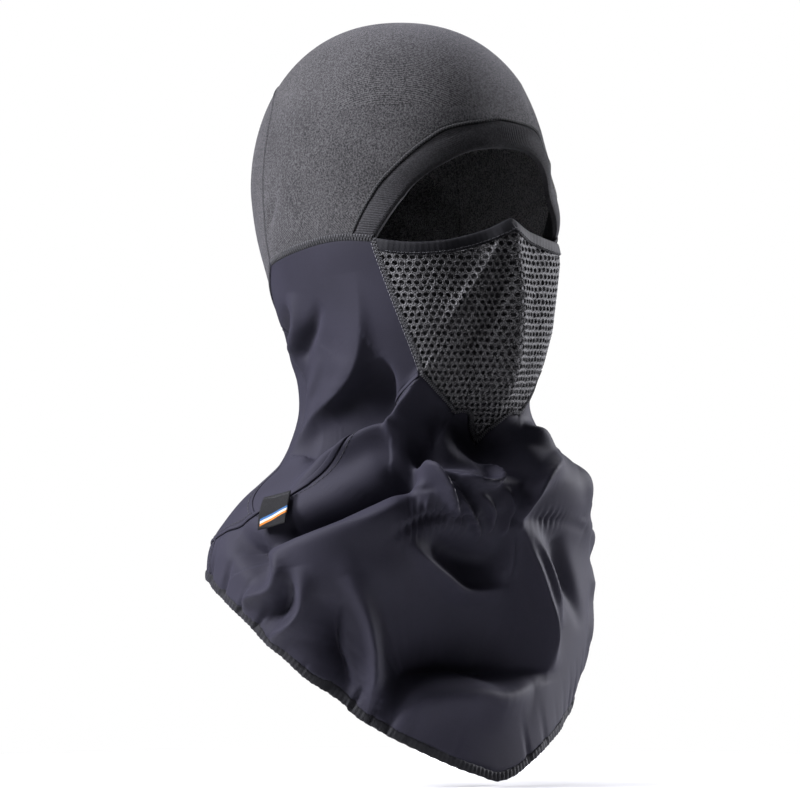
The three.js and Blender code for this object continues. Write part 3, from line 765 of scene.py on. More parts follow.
def node(tree, kind, inputs=None, **settings):
    made = tree.nodes.new(kind)
    for key, value in settings.items():
        setattr(made, key, value)
    for key, value in (inputs or {}).items():
        socket = made.inputs[key]
        if isinstance(value, bpy.types.NodeSocket):
            tree.links.new(value, socket)
        else:
            socket.default_value = value
    return made


def maths(tree, operation, first, second=0.0):
    return node(tree, "ShaderNodeMath", {0: first, 1: second}, operation=operation).outputs[0]


def times(tree, first, second):
    return maths(tree, "MULTIPLY", first, second)


def plus(tree, first, second):
    return maths(tree, "ADD", first, second)


def ripple(tree, along, pitch):
    return maths(tree, "SINE", times(tree, along, 2 * math.pi / pitch))


def object_millimetres(tree):
    coords = node(tree, "ShaderNodeTexCoord").outputs["Object"]
    return node(tree, "ShaderNodeVectorMath", {0: coords, 1: (1000, 1000, 1000)},
                operation="MULTIPLY").outputs[0]


def cloth_axes(tree):
    """Millimetres along and up the cloth, from the cut panel's own coordinates."""
    uv = node(tree, "ShaderNodeUVMap", uv_map="cloth").outputs[0]
    parts = node(tree, "ShaderNodeSeparateXYZ", {0: uv})
    return parts.outputs[0], parts.outputs[1]


def noise(tree, vector, scale, detail=2.0, rough=0.5):
    return node(tree, "ShaderNodeTexNoise", {"Vector": vector, "Scale": scale, "Detail": detail,
                                             "Roughness": rough}).outputs[0]


def ramp(tree, factor, low, high, start=0.3, end=0.7):
    made = node(tree, "ShaderNodeValToRGB", {0: factor})
    made.color_ramp.elements[0].position = start
    made.color_ramp.elements[1].position = end
    made.color_ramp.elements[0].color = (*low, 1)
    made.color_ramp.elements[1].color = (*high, 1)
    return made.outputs[0]


def finish_shader(tree, shader, color, factor, low, high, settings):
    """Links the colour, and a roughness from low to high, and sets the shader's other inputs."""
    tree.links.new(color, shader.inputs["Base Color"])
    rough = node(tree, "ShaderNodeMapRange", {"Value": factor, "To Min": low, "To Max": high})
    tree.links.new(rough.outputs[0], shader.inputs["Roughness"])
    for key, value in settings.items():
        shader.inputs[key].default_value = value


def bumped(tree, shader, height, strength, distance):
    bump = node(tree, "ShaderNodeBump", {"Height": height, "Strength": strength,
                                         "Distance": distance * MM})
    tree.links.new(bump.outputs[0], shader.inputs["Normal"])


def tint(color, share):
    return tuple(channel * share for channel in color)


def knit(name, color, contrast, wale, course, sheen, twill=0.0, depth=0.25):
    """Fine jersey: columns and rows of loops, heather yarn and a brushed nap."""
    material, tree, shader = new_material(name)
    along, up = cloth_axes(tree)
    spot = object_millimetres(tree)
    loops = times(tree, ripple(tree, along, wale), ripple(tree, up, course))
    slant = ripple(tree, plus(tree, along, up), 2.0)
    speckle = noise(tree, spot, 1.0, 2.0, 0.8)
    cloud = noise(tree, spot, 0.035, 2.0)
    mixed = plus(tree, speckle, times(tree, slant, twill))
    mixed = plus(tree, mixed, times(tree, maths(tree, "SUBTRACT", cloud, 0.5), 0.1))
    mixed = plus(tree, mixed, times(tree, loops, 0.05))
    shade = ramp(tree, mixed, tint(color, 1 - contrast), tint(color, 1 + contrast), 0.43, 0.58)
    bumped(tree, shader, plus(tree, loops, times(tree, speckle, 1.6)), 0.5, depth)
    finish_shader(tree, shader, shade, speckle, 0.82, 0.98, {
        "Specular IOR Level": 0.25, "Sheen Weight": sheen, "Sheen Roughness": 0.45,
        "Sheen Tint": (0.86, 0.84, 1.0, 1)})
    return material


def satin(name, color, sheen, roughness, specular, depth=0.05, weave=0.55):
    """Tightly woven shell fabric: very fine weave, satin gloss, slow changes of tone."""
    material, tree, shader = new_material(name)
    along, up = cloth_axes(tree)
    spot = object_millimetres(tree)
    woven = times(tree, ripple(tree, along, weave), ripple(tree, up, weave))
    grain = noise(tree, spot, 1.6, 3.0, 0.7)
    cloud = noise(tree, spot, 0.03, 3.0)
    mixed = plus(tree, times(tree, grain, 0.55), times(tree, cloud, 0.45))
    shade = ramp(tree, mixed, tint(color, 0.8), tint(color, 1.22))
    bumped(tree, shader, plus(tree, woven, times(tree, grain, 1.4)), 0.35, depth)
    finish_shader(tree, shader, shade, cloud, roughness - 0.06, roughness + 0.06, {
        "Specular IOR Level": specular, "Sheen Weight": sheen, "Sheen Roughness": 0.5,
        "Sheen Tint": (0.8, 0.79, 1.0, 1)})
    return material


def yarn(name, color, contrast, sheen, scale, start=0.35):
    """Spun thread: speckled in tone and roughness."""
    material, tree, shader = new_material(name)
    speckle = noise(tree, object_millimetres(tree), scale, 2.0, 0.7)
    low, high = tint(color, 1 - contrast), tint(color, 1 + contrast)
    shade = ramp(tree, speckle, low, high, start, 1 - start)
    bumped(tree, shader, speckle, 0.5, 0.2)
    finish_shader(tree, shader, shade, speckle, 0.65, 0.9,
                  {"Specular IOR Level": 0.3, "Sheen Weight": sheen})
    return material


CAP = (0.041, 0.040, 0.0415)
BROW = (0.0265, 0.026, 0.0285)
SHELL = (0.0205, 0.0196, 0.0295)
MESH = (0.098, 0.097, 0.1)
EDGE = (0.0075, 0.0075, 0.0095)

# name, colour, contrast, wale, course, sheen / name, colour, sheen, roughness, specular
cap_knit = knit("cap_knit_outside", CAP, 0.8, 0.95, 0.75, 0.08, twill=0.07)
# the cap's inside face is painted much lighter than its outside: painted light standing in for the
# light that reaches the hollow of the hood
cap_inside_painted_light = knit("cap_knit_inside_painted_light", (0.19, 0.186, 0.19), 0.6, 1.3, 1.1, 0.05, depth=0.3)
brow_knit = knit("brow_rib_knit", BROW, 0.35, 0.9, 0.8, 0.02, depth=0.15)
softshell = satin("softshell_face", SHELL, 0.01, 0.66, 0.1)
shell_inside = knit("softshell_fleece_back", (0.012, 0.012, 0.014), 0.4, 1.2, 1.2, 0.1)
mesh_yarn = yarn("mask_mesh_yarn", MESH, 0.85, 0.05, 1.3, 0.43)
lining_knit = knit("mask_lining_knit", (0.14, 0.138, 0.144), 0.6, 1.0, 1.0, 0.03)
binding = satin("edge_binding", EDGE, 0.01, 0.7, 0.15, 0.1, 0.9)
hem_elastic = satin("hem_binding_elastic", (0.011, 0.011, 0.013), 0.05, 0.7, 0.15, 0.15, 1.1)
elastic = satin("throat_elastic_tape", (0.02, 0.02, 0.022), 0.1, 0.7, 0.25, 0.2, 1.2)
grey_thread = yarn("overlock_thread_grey", (0.07, 0.07, 0.075), 0.6, 0.03, 1.6)
cap_thread = yarn("overlock_thread_cap", (0.045, 0.045, 0.047), 0.6, 0.03, 1.6)
seam_tape = yarn("seam_allowance_cloth", (0.012, 0.012, 0.014), 0.4, 0.05, 2.0)
pale_thread = yarn("topstitch_thread_pale", (0.17, 0.17, 0.185), 0.45, 0.2, 3.0)
dark_thread = yarn("overlock_thread_dark", (0.016, 0.016, 0.021), 0.4, 0.2, 3.0)


LABEL_LONG, LABEL_TALL = 20.0, 22.0


def label_material():
    """Black satin tab with three plain slanting stripes near its loose lower corner."""
    material, tree, shader = new_material("woven_label_stripes")
    along, up = cloth_axes(tree)
    lean = times(tree, maths(tree, "SUBTRACT", LABEL_LONG, along), 0.3)
    slant = maths(tree, "SUBTRACT", up, lean)
    woven = times(tree, ripple(tree, along, 0.42), ripple(tree, up, 0.34))
    made = node(tree, "ShaderNodeValToRGB", {0: maths(tree, "DIVIDE", slant, LABEL_TALL)})
    bands = made.color_ramp
    bands.interpolation = "CONSTANT"
    black = (0.006, 0.006, 0.007)
    stripes = [(0.0, black), (0.05, (0.42, 0.14, 0.02)), (0.12, (0.5, 0.47, 0.4)),
               (0.19, (0.03, 0.1, 0.24)), (0.26, black)]
    for index, (position, color) in enumerate(stripes):
        stop = bands.elements[index] if index < 2 else bands.elements.new(position)
        stop.position = position
        stop.color = (*color, 1)
    across = maths(tree, "LESS_THAN", along, 18.5)
    mixed = node(tree, "ShaderNodeMix", {0: across, 6: (*black, 1), 7: made.outputs[0]},
                 data_type="RGBA")
    bumped(tree, shader, woven, 0.5, 0.12)
    grain = noise(tree, object_millimetres(tree), 1.5)
    finish_shader(tree, shader, mixed.outputs[2], grain, 0.55, 0.75, {"Specular IOR Level": 0.15})
    return material


# ---------------------------------------------------------------- cap
def make_crown():
    """The crown: rings of places from its outline up to the pole."""
    rim = chain((brow_top, 9), (cap_foot, 6), (back_side, 4), (back_top, 7))
    columns, rings = 420, 130
    share = np.linspace(0, 1, columns // 2 + 1)
    edge = beside(rim, share, SEAM_GAP)
    edge[0, 0], edge[-1, 0] = 0, 180
    edge = np.concatenate([edge, (edge[1:-1] * np.array([-1, 1]))[::-1]])
    bare = np.concatenate([share, -share[1:-1][::-1]]) * 180
    to_rim = np.linspace(1, 0.004, rings)[:, None]
    bearing = bare + (edge[:, 0] - bare) * to_rim
    climb = CLIMB_TOP + (edge[:, 1] - CLIMB_TOP) * to_rim
    spots = np.stack([bearing.ravel(), climb.ravel()], 1)
    low = np.linspace(0, 1, rings)[:, None] * (CLIMB_TOP - edge[:, 1])
    lift = -0.25 * np.exp(-(low.ravel() / EDGE_ROUND) ** 2)
    outer = place(spots[:, 0], spots[:, 1], lift)
    inner = place(spots[:, 0], spots[:, 1], lift - KNIT)
    count = len(outer)
    index = np.arange(count).reshape(rings, columns)
    rim_loop = np.append(index[0], index[0, 0])
    ahead, behind = rim_loop[1:], rim_loop[:-1]
    faces = [grid_faces(columns, rings, wrap=True), grid_faces(columns, rings, count, True, True),
             index[-1][None, :], index[-1][None, ::-1] + count,
             np.stack([ahead, behind, behind + count, ahead + count], 1)]
    quads = len(faces[0])
    face_materials = [0] * quads + [1] * quads + [0, 1] + [0] * columns
    # over the dome the weave runs straight across, as knitted cloth does when it is stretched
    away = CLIMB_TOP - spots[:, 1]
    turn = np.radians(spots[:, 0])
    dome_uv = np.stack([away * np.sin(turn) * 0.9, -away * np.cos(turn) * 0.9], 1)
    side_uv = np.stack([arc_length(spots[:, 0], spots[:, 1]), spots[:, 1]], 1)
    dome_share = np.clip((spots[:, 1] - 330) / 60, 0, 1)[:, None]
    uvs = np.tile(side_uv * (1 - dome_share) + dome_uv * dome_share, (2, 1))
    obj = make_object("crown_panel", np.concatenate([outer, inner]), faces, [cap_knit, cap_inside_painted_light],
                      face_materials, uvs, columns)
    return finish_piece(obj, "hood", ["crown_panel"])


crown = make_crown()
back_head = panel("back_head_panel", {
    "foot": wrap_chain((nape_upper, 3), (nape_lower, 5)), "top": wrap_chain((back_top, 8)),
    "start": back_side, "end": wrapped(back_side)}, 150, 110, KNIT, [cap_knit, cap_inside_painted_light],
    edge_drop=0.25)

RIB_PITCH = 1.5


def brow_ribs(spots, left, low):
    """Real ribs across the band, with its folded edge rounded and standing a little proud."""
    ribs = 0.2 * np.cos(left * 2 * math.pi / RIB_PITCH)
    fold = np.minimum(low, 14)
    rounded = 0.9 * np.sqrt(np.clip(1 - ((fold - 7) / 7.6) ** 2, 0, 1))
    return ribs + rounded - 0.5


brow = panel("brow_band", {
    "foot": mirror_chain((eye_top, 12)), "top": mirror_chain((brow_top, 12)),
    "start": flipped(band_foot), "end": band_foot}, 1300, 22, RIB, [brow_knit, brow_knit],
    edge_drop=0.8, ridge=brow_ribs)

# ---------------------------------------------------------------- neck and bib
neck_outline = {"foot": neck_foot, "top": chain((band_foot, 2), (cap_foot, 8), (nape_upper, 2)),
                "start": chain((mask_side, 10), (mask_corner, 1)), "end": neck_side}
SHELL_SIDES = [softshell, shell_inside]
neck_left = panel("neck_panel_left", neck_outline, 110, 150, SOFTSHELL, SHELL_SIDES)
neck_right = panel("neck_panel_right", mirrored(neck_outline), 110, 150, SOFTSHELL, SHELL_SIDES)
neck_back = panel("neck_back_panel", {
    "foot": wrap_chain((shoulder_top, 2), (nape_foot, 5)), "top": wrap_chain((nape_lower, 7)),
    "start": neck_side, "end": wrapped(neck_side)}, 150, 110, SOFTSHELL, SHELL_SIDES)
front_foot, back_foot = beside_line(hem_front, 3.0), beside_line(hem_back, 3.0)
front_edge = straight(back_foot(0.0)[0], shoulder_top(1.0)[0])
back_edge = straight(back_foot(0.0)[0], nape_foot(0.0)[0])
bib_front = panel("bib_front_panel", {
    "foot": mirror_chain((front_foot, 17)),
    "top": mirror_chain((chin_tip, 3), (chin_side, 3), (neck_foot, 8), (shoulder_top, 3)),
    "start": flipped(front_edge), "end": front_edge}, 340, 150, SOFTSHELL, SHELL_SIDES)
bib_back = panel("bib_back_panel", {
    "foot": wrap_chain((back_foot, 8)), "top": wrap_chain((nape_foot, 8)),
    "start": back_edge, "end": wrapped(back_edge)}, 180, 24, SOFTSHELL, SHELL_SIDES)


def hem_profile(walked):
    pull = 0.25 * math.sin(walked * 2 * math.pi / 3.1) + 0.3 * math.sin(walked * 0.21)
    return flat_loop(2.8 + 0.15 * math.sin(walked * 0.9), -2.4 + pull * 0.4, 0.5 + pull, 0.5, 2.8)


for name, path in (("hem_binding_front", mirror_chain((hem_front, 22))),
                   ("hem_binding_back", wrap_chain((hem_back, 8)))):
    sweep(name, Track(path), 0.8, hem_profile, [hem_elastic], "hood")
sweep("throat_elastic", Track(mirror_chain((throat_line, 8))), 1.2,
      lambda walked: flat_loop(4, -3.6 + 0.15 * math.sin(walked * 3), -2.3), [elastic],
      "hood")

# ---------------------------------------------------------------- mask
HOLE_PITCH = 5.0
HOLE_ROW = 3.7
HOLE_RADIUS = 1.6
CELL_SIDES = 18
HALF_COLUMNS = 19
MESH_FOOT, MESH_TALL = 197, 130
CHIN_TOP = 214  # below this climb the chin's seam bounds the mesh, above it the side seams
NARROWEST, NARROWING = 0.66, 0.34
# rings from a cell's border to its hole: share of the way to the hole, height of the yarn
RINGS = [(0.0, 0.0), (0.35, 0.4), (0.7, 0.45), (0.95, 0.1), (1.0, -0.3), (0.8, -0.7), (0.0, -0.7)]
mask_edge_line = mirror_chain((mask_top, 10))
mask_outline = {
    "foot": mirror_chain((chin_tip, 6)), "top": beside_line(mask_edge_line, -MASK_EDGE_WIDTH + 1),
    "start": flipped(chain((chin_side, 3), (mask_side, 9))),
    "end": chain((chin_side, 3), (mask_side, 9))}


def outline_limits():
    """Bearing of the mask's side, and climb of its top and foot, for clipping the mesh."""
    share = np.linspace(0, 1, 200)
    side = chain((chin_side, 3), (mask_side, 9), (mask_corner, 1))(share)
    top = beside_line(mask_top, -MASK_EDGE_WIDTH + 1.5)(share)
    tip = chin_tip(share)
    return side, top, tip


def mesh_cell():
    """One cell of the mesh round its hole: (across, up) and height on each of the RINGS."""
    hexagon = np.array([[0, 2 / 3], [0.5, 1 / 3], [0.5, -1 / 3], [0, -2 / 3], [-0.5, -1 / 3],
                        [-0.5, 1 / 3], [0, 2 / 3]])
    steps = CELL_SIDES // 6
    outer = np.concatenate([hexagon[i] + (hexagon[i + 1] - hexagon[i])
                            * np.arange(steps)[:, None] / steps for i in range(6)])
    outer = outer * np.array([HOLE_PITCH, HOLE_ROW])
    angle = np.arctan2(outer[:, 1], outer[:, 0])
    hole = np.stack([np.cos(angle) * HOLE_RADIUS * 1.08, np.sin(angle) * HOLE_RADIUS * 0.9], 1)
    knots = 0.12 * np.cos(3 * angle + 0.5)
    shape = np.stack([outer * (1 - share) + hole * share for share, _ in RINGS])
    heights = np.stack([np.full(CELL_SIDES, lift) + (knots if 0 < share < 1 and lift > 0 else 0)
                        for share, lift in RINGS])
    return shape, heights


def mesh_places(shape):
    """Length from the front and climb of every point of every cell."""
    climbs = MESH_FOOT + np.arange(int(MESH_TALL / HOLE_ROW) + 2) * HOLE_ROW
    cell_b, cell_c = np.array([(column + 0.5 * (row % 2), climb) for row, climb in enumerate(climbs)
                               for column in range(-HALF_COLUMNS, HALF_COLUMNS + 1)]).T
    # no two holes are quite the same size, and each sits a little off the middle of its cell
    opened = np.array([share for share, _ in RINGS])[None, :, None]
    size = rng.uniform(-0.14, 0.1, (len(cell_b), 1, 1)) * opened
    slip = rng.uniform(-0.22, 0.22, (2, len(cell_b), 1, 1)) * opened
    across = shape[None, :, :, 0] * (1 + size) + slip[0]
    upward = shape[None, :, :, 1] * (1 + size) + slip[1]
    ups = cell_c[:, None, None] + upward
    # the cells narrow towards the chin, by the same share on both sides of every border
    shrink = NARROWEST + NARROWING * np.clip((ups - 205) / 100, 0, 1)
    arcs = (cell_b[:, None, None] * HOLE_PITCH + across) * shrink
    # the mesh is knitted with a slight wander
    ups = ups + 0.35 * np.sin(arcs * 0.11 + 0.6) + 0.25 * np.sin(arcs * 0.23)
    arcs = arcs + 0.3 * np.sin(ups * 0.17)
    return arcs.ravel(), ups.ravel()


def clip_mesh(bearing, climb):
    """Places held inside the mask's outline, and which of them were inside before."""
    side, top, tip = outline_limits()
    limit_top = np.interp(np.abs(bearing), top[:, 0], top[:, 1])
    limit_foot = np.interp(np.abs(bearing), np.concatenate([tip[:, 0], side[:, 0]]),
                           np.concatenate([tip[:, 1], side[:, 1]]))
    order = np.argsort(side[:, 1])
    limit_side = np.interp(climb, side[order, 1], side[order, 0], left=0.0)
    inside = ((climb < limit_top) & (climb > limit_foot)
              & ((np.abs(bearing) < limit_side) | (climb < CHIN_TOP)))
    bearing = np.where(climb > CHIN_TOP, np.clip(bearing, -limit_side, limit_side), bearing)
    climb = np.minimum(climb, limit_top)
    limit_foot = np.interp(np.abs(bearing), tip[:, 0], tip[:, 1])
    return bearing, np.where(climb < CHIN_TOP, np.maximum(climb, limit_foot), climb), inside


def make_mesh():
    """The mask's knitted mesh, as one closed sheet of yarn with open holes."""
    shape, heights = mesh_cell()
    arcs, ups = mesh_places(shape)
    per_cell = heights.size
    count = len(arcs) // per_cell
    bearing, climb, inside = clip_mesh(bearing_at(arcs, ups), ups)
    lifts = np.tile(heights.ravel(), count)
    points = place(bearing, climb, lifts)
    starts = np.flatnonzero(inside.reshape(count, -1).any(axis=1))[:, None] * per_cell
    faces = grid_faces(CELL_SIDES, len(RINGS), wrap=True)[None] + starts[:, None]
    # cells share the yarn on their borders, so that the mesh is one knitted sheet
    spots = np.round(np.stack([arcs, ups, lifts], 1), 3)
    _, first, joined = np.unique(spots, axis=0, return_index=True, return_inverse=True)
    joined = first[joined.ravel()]
    # a border that no neighbour shares is on the panel's outline, where a rim closes the yarn
    corner_a = starts + np.arange(CELL_SIDES)
    corner_b = starts + (np.arange(CELL_SIDES) + 1) % CELL_SIDES
    far = per_cell - CELL_SIDES
    border = np.sort(np.stack([joined[corner_a], joined[corner_b]], -1).reshape(-1, 2), axis=1)
    _, which, sharers = np.unique(border, axis=0, return_inverse=True, return_counts=True)
    rim = np.stack([corner_a + far, corner_b + far, corner_b, corner_a], -1).reshape(-1, 4)
    rim = rim[sharers[which.ravel()] == 1]
    faces = joined[np.concatenate([faces.reshape(-1, 4), rim])]
    used, renumbered = np.unique(faces, return_inverse=True)
    return make_object("mask_panel", points[used], [renumbered.reshape(-1, 4)], [mesh_yarn],
                       uvs=np.stack([arcs, ups], 1)[used])


mask = make_mesh()
lining = panel("mask_lining", {**mask_outline, "top": beside_line(mask_edge_line, -3)}, 90, 80, 0.7,
               [lining_knit, lining_knit], edge_drop=0, body=None,
               ridge=lambda spots, left, low: np.full(len(spots), -2.0))
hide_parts("mask_panel")
for piece in (mask, lining):
    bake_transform(piece)


edge_track = Track(mask_edge_line, 0.004, 0.996)


def binding_profile(walked):
    """The folded binding, flattened where its ends run under the side seams."""
    swell = 0.12 * math.sin(walked * 0.35) + 0.08 * math.sin(walked * 1.9)
    full = min(walked / 8, (edge_track.length - walked) / 8, 1)
    return flat_loop(3.7, -1.6, 0.2 + 1.2 * full + swell, 0.45, -3.5)


sweep("mask_binding", edge_track, 0.8, binding_profile, [binding], "mask_edge")
# the stitching stops short of the sewn ends, clear of the side seams when the edge is pulled down
stitch_track = Track(mask_edge_line, 0.05, 0.95)
threads("mask_binding_topstitch", running_stitch(stitch_track, -6.1, 1.6, 0.7, 1.65),
        0.22, dark_thread, "mask_edge")


# ---------------------------------------------------------------- seams
def flatlock(name, track, half_width, pitch, lift, thread, tape_material, strand=0.24):
    """Flat overlocked seam: a low padded band under a ladder of thread."""
    sweep(name, track, 1.2, lambda walked: flat_loop(half_width, lift - 0.9, lift, 0.6),
          [tape_material], "hood")
    threads(name + "_ladder", [zigzag(track, half_width * 0.92, pitch, lift)], strand, thread,
            "hood")


def welt(name, track, lift=0.7):
    """Plain seam of the shell: a rolled welt with a topstitch beside it."""
    sweep(name, track, 1.0, lambda walked: flat_loop(0.9, lift - 1.3, lift, 0.9), [softshell],
          "hood")
    threads(name + "_topstitch", running_stitch(track, 2.4, 2.2, 0.9, 0.1), 0.2, dark_thread,
            "hood")


flatlock("brow_seam", Track(mirror_chain((brow_top, 12))), 1.0, 1.9, 0.2, cap_thread,
         seam_tape, 0.2)
shoulder = straight(beside(hem_front, 1.0, HEM_WIDTH)[0], shoulder_top(1.0)[0])
for side_name, side_of, outward in (("left", lambda path: path, -2.3), ("right", flipped, 2.3)):
    flatlock(f"cap_neck_seam_{side_name}", Track(side_of(chain((band_foot, 2), (cap_foot, 8)))),
             2.1, 2.0, 0.25, grey_thread, seam_tape)
    mask_track = Track(side_of(chain((mask_side, 10), (mask_corner, 1))))
    flatlock(f"mask_side_seam_{side_name}", mask_track, 1.8, 2.0, 0.25, grey_thread,
             seam_tape)
    threads(f"mask_side_topstitch_{side_name}", running_stitch(mask_track, outward, 1.5, 0.9, 0.25),
            0.26, pale_thread, "hood")
    welt(f"neck_bib_seam_{side_name}", Track(side_of(neck_foot), 0.03, 1.0), 0.9)
    welt(f"neck_side_seam_{side_name}", Track(side_of(neck_side)), 0.35)
    welt(f"shoulder_seam_{side_name}", Track(side_of(shoulder), 0.0, 0.97), 0.35)
flatlock("back_panel_seam", Track(wrap_chain((back_side, 6), (back_top, 8))), 1.2, 1.9, 0.15,
         grey_thread, cap_knit, 0.15)
flatlock("nape_seam", Track(wrap_chain((nape_upper, 3), (nape_lower, 6))), 1.7, 1.4, 0.35,
         dark_thread, softshell)
flatlock("mask_chin_seam", Track(mirror_chain((chin_tip, 5), (chin_side, 4))), 1.3, 1.4, 0.6,
         grey_thread, binding)
welt("nape_bib_seam", Track(wrap_chain((shoulder_top, 2), (nape_foot, 5))))


# ---------------------------------------------------------------- labels
LABEL_FRONT = (-99.88, -21.8, -272.15)
LABEL_BACK = (-104.46, -2.81, -276.46)
LABEL_FALL = (-14.19, -6.9, -15.33)
LABEL_DROOP = -14.0


def thin_tab(name, face, rear, columns, rows, material, uvs):
    """Closed thin tab from a grid of points on its face and the same grid on its back."""
    count = len(face)
    rim = rim_of(np.arange(count).reshape(rows, columns))
    faces = [grid_faces(columns, rows, 0, flip=True), grid_faces(columns, rows, count),
             np.stack([rim[:-1], rim[1:], rim[1:] + count, rim[:-1] + count], 1)]
    return make_object(name, np.concatenate([face, rear]), faces, [material],
                       uvs=np.tile(uvs, (2, 1)))


def make_label():
    """The side label: a folded woven tab, thin, a little bowed, with its top edge sewn down."""
    hinge = Vector(LABEL_BACK) - Vector(LABEL_FRONT)
    droop = Matrix.Rotation(math.radians(LABEL_DROOP), 3, hinge.normalized())
    fall = np.array(droop @ Vector(LABEL_FALL)) * MM
    front, back = np.array(LABEL_FRONT) * MM, np.array(LABEL_BACK) * MM
    front_low, back_low = front + fall, back + fall
    columns, rows = 26, 20
    along, down = np.meshgrid(np.linspace(0, 1, columns), np.linspace(0, 1, rows))
    along, down = along.ravel()[:, None], down.ravel()[:, None]
    spots = (front * (1 - along) + back * along) * (1 - down) + (front_low * (1 - along)
                                                                 + back_low * along) * down
    outward = np.cross(back - front, front_low - front)
    outward /= np.linalg.norm(outward)
    middle = np.stack([front, back, back_low, front_low]).mean(0)
    if outward @ (middle * np.array([1, 1, 0])) < 0:
        outward = -outward
    bow = (0.9 * np.sin(down * math.pi) * (0.4 + along) + 0.5 * (along - 0.5) ** 2
           + 0.25 * np.sin(along * 9) * down) * MM
    face = spots + outward * (bow + 0.35 * MM)
    rear = spots + outward * (bow - 0.35 * MM)
    uvs = np.concatenate([along * LABEL_LONG, (1 - down) * LABEL_TALL], 1)
    tab = thin_tab("side_label", face, rear, columns, rows, label_material(), uvs)
    finish_piece(tab, "label", ["side_label"])
    share = np.linspace(0.03, 0.97, 60)
    tack = np.stack([front + (back - front) * s + (front_low - front)
                     * (0.09 + 0.035 * (-1) ** i) + outward * 0.0006 for i, s in enumerate(share)])
    threads("side_label_stitches", [tack], 0.18, dark_thread, "label")


def make_care_label():
    """The care label inside the nape: a thin plain tape tab, gently curved with the neck."""
    low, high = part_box("care_label")
    columns, rows = 24, 14
    across, down = np.meshgrid(np.linspace(-1, 1, columns), np.linspace(0, 1, rows))
    across, down = across.ravel(), down.ravel()
    middle = (low + high) / 2
    x = middle.x + across * (high.x - low.x) / 2
    y = middle.y + 0.0012 * (0.5 - across ** 2) + 0.001 * np.sin(down * 3)
    z = high.z - down * (high.z - low.z)
    tape = satin("care_tape_weave", (0.55, 0.55, 0.52), 0.1, 0.6, 0.3, 0.1, 0.6)
    tab = thin_tab("care_label", np.stack([x, y - 0.0003, z], 1), np.stack([x, y + 0.0003, z], 1),
                   columns, rows, tape, np.stack([across * 14, down * 18], 1))
    finish_piece(tab, "hood", ["care_label"])


make_label()
make_care_label()


# ---------------------------------------------------------------- studio
AZIMUTH, ELEVATION = -40.0, 0.25
DISTANCE = 5.0
VIEW_WIDTH = 470.6 * MM
CENTRE = (0.0006, -0.2200)
FLOOR_RADIUS = 0.4
FLOOR_GLOW = 0.05
FLOOR_COLOR = (0.8, 0.8, 0.8)
FILL_STRENGTH = 0.022
LIGHT_COLOR = (0.94, 0.94, 1.0)
# name, turn from the camera, rise, distance, width, height, watts
SOFTBOXES = [
    ("softbox_left", -80, 24, 1.5, 0.35, 0.6, 54),
    ("softbox_top", -76, 64, 1.6, 0.5, 0.5, 24),
    ("softbox_right", 118, 10, 1.5, 0.4, 0.9, 50),
    ("softbox_front", 30, 52, 1.8, 0.8, 0.8, 3),
    ("softbox_key", -48, 34, 1.7, 0.4, 0.4, 10),
    ("softbox_back", 176, 44, 1.6, 1.0, 0.6, 12),
]


def heading(azimuth, elevation):
    a, e = math.radians(azimuth), math.radians(elevation)
    return Vector((math.sin(a) * math.cos(e), -math.cos(a) * math.cos(e), math.sin(e)))


def make_camera():
    back = heading(AZIMUTH, ELEVATION)
    a = math.radians(AZIMUTH)
    right = Vector((math.cos(a), math.sin(a), 0))
    data = bpy.data.cameras.new("camera")
    data.sensor_width = 36.0
    data.lens = 36.0 * DISTANCE / VIEW_WIDTH
    data.clip_end = 50
    camera = bpy.data.objects.new("camera", data)
    camera.location = right * CENTRE[0] + Vector((0, 0, CENTRE[1])) + back * DISTANCE
    camera.rotation_euler = back.to_track_quat("Z", "Y").to_euler()
    bpy.context.scene.collection.objects.link(camera)
    bpy.context.scene.camera = camera


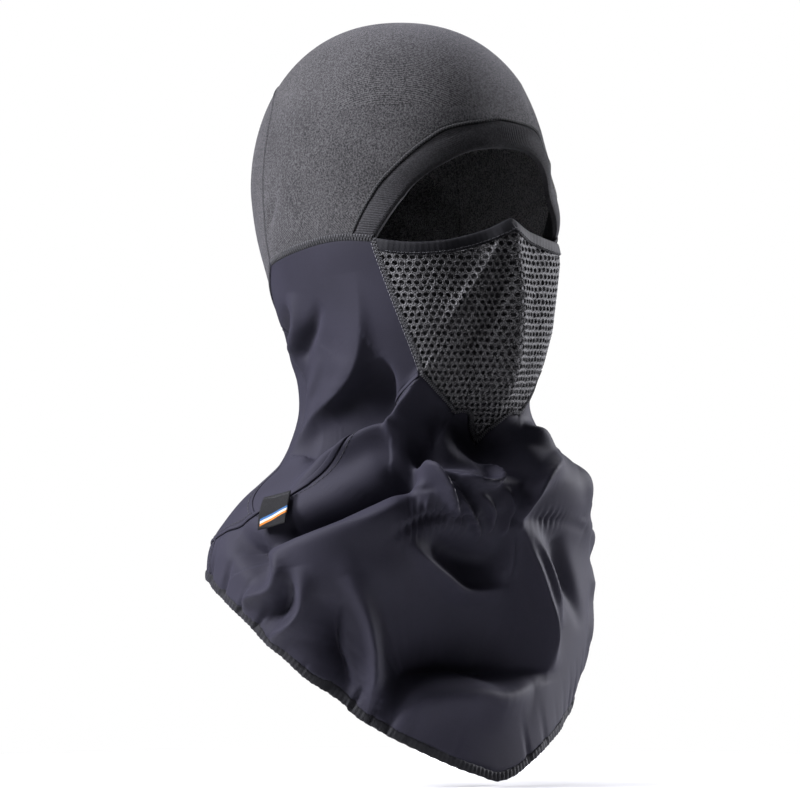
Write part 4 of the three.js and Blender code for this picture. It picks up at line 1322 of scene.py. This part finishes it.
def soft_light(name, turn, rise, distance, width, height, watts):
    """Softbox aimed at the middle of the garment: turn is from the camera towards its right."""
    away = heading(AZIMUTH + turn, rise)
    data = bpy.data.lights.new(name, "AREA")
    data.shape = "RECTANGLE"
    data.size, data.size_y = width, height
    data.energy = watts
    data.color = LIGHT_COLOR
    lamp = bpy.data.objects.new(name, data)
    lamp.location = Vector((0, 0, -0.2)) + away * distance
    lamp.rotation_euler = away.to_track_quat("Z", "Y").to_euler()
    bpy.context.scene.collection.objects.link(lamp)


def make_studio():
    """A round pale floor, an even pale surround and softboxes that face each other across it."""
    turns = np.linspace(0, 2 * math.pi, 96, endpoint=False)
    floor_height = -(ROW_DROP + 2.5) * MM
    rings = [0.02, 0.2, FLOOR_RADIUS, FLOOR_RADIUS + 0.004]
    drops = [0, 0, 0, 0.006]
    verts = [(ring * math.sin(t), ring * math.cos(t), floor_height - drop)
             for ring, drop in zip(rings, drops) for t in turns]
    faces = [grid_faces(len(turns), len(rings), 0, wrap=True), np.arange(len(turns))[None, ::-1]]
    material, tree, shader = new_material("studio_floor_paint")
    grain = noise(tree, object_millimetres(tree), 0.4)
    shade = ramp(tree, grain, tint(FLOOR_COLOR, 0.97), FLOOR_COLOR)
    tree.links.new(shade, shader.inputs["Base Color"])
    shader.inputs["Roughness"].default_value = 0.9
    shader.inputs["Emission Color"].default_value = (1, 1, 1, 1)
    shader.inputs["Emission Strength"].default_value = FLOOR_GLOW
    paper = make_object("studio_floor", verts, faces, [material])
    world = bpy.data.worlds.new("studio_air")
    world.use_nodes = True
    tree = world.node_tree
    fill = tree.nodes["Background"]
    fill.inputs[0].default_value = (0.92, 0.93, 1.0, 1)
    fill.inputs[1].default_value = FILL_STRENGTH
    seen = node(tree, "ShaderNodeBackground", {0: (1, 1, 1, 1), 1: 1.0})
    path = node(tree, "ShaderNodeLightPath")
    mixed = node(tree, "ShaderNodeMixShader", {0: path.outputs["Is Camera Ray"], 1: fill.outputs[0],
                                               2: seen.outputs[0]})
    output = next(made for made in tree.nodes if made.type == "OUTPUT_WORLD")
    tree.links.new(mixed.outputs[0], output.inputs[0])
    bpy.context.scene.world = world
    for softbox in SOFTBOXES:
        soft_light(*softbox)
    bpy.context.scene.view_settings.view_transform = "Standard"
    bpy.context.scene.view_settings.look = "None"


make_camera()
make_studio()
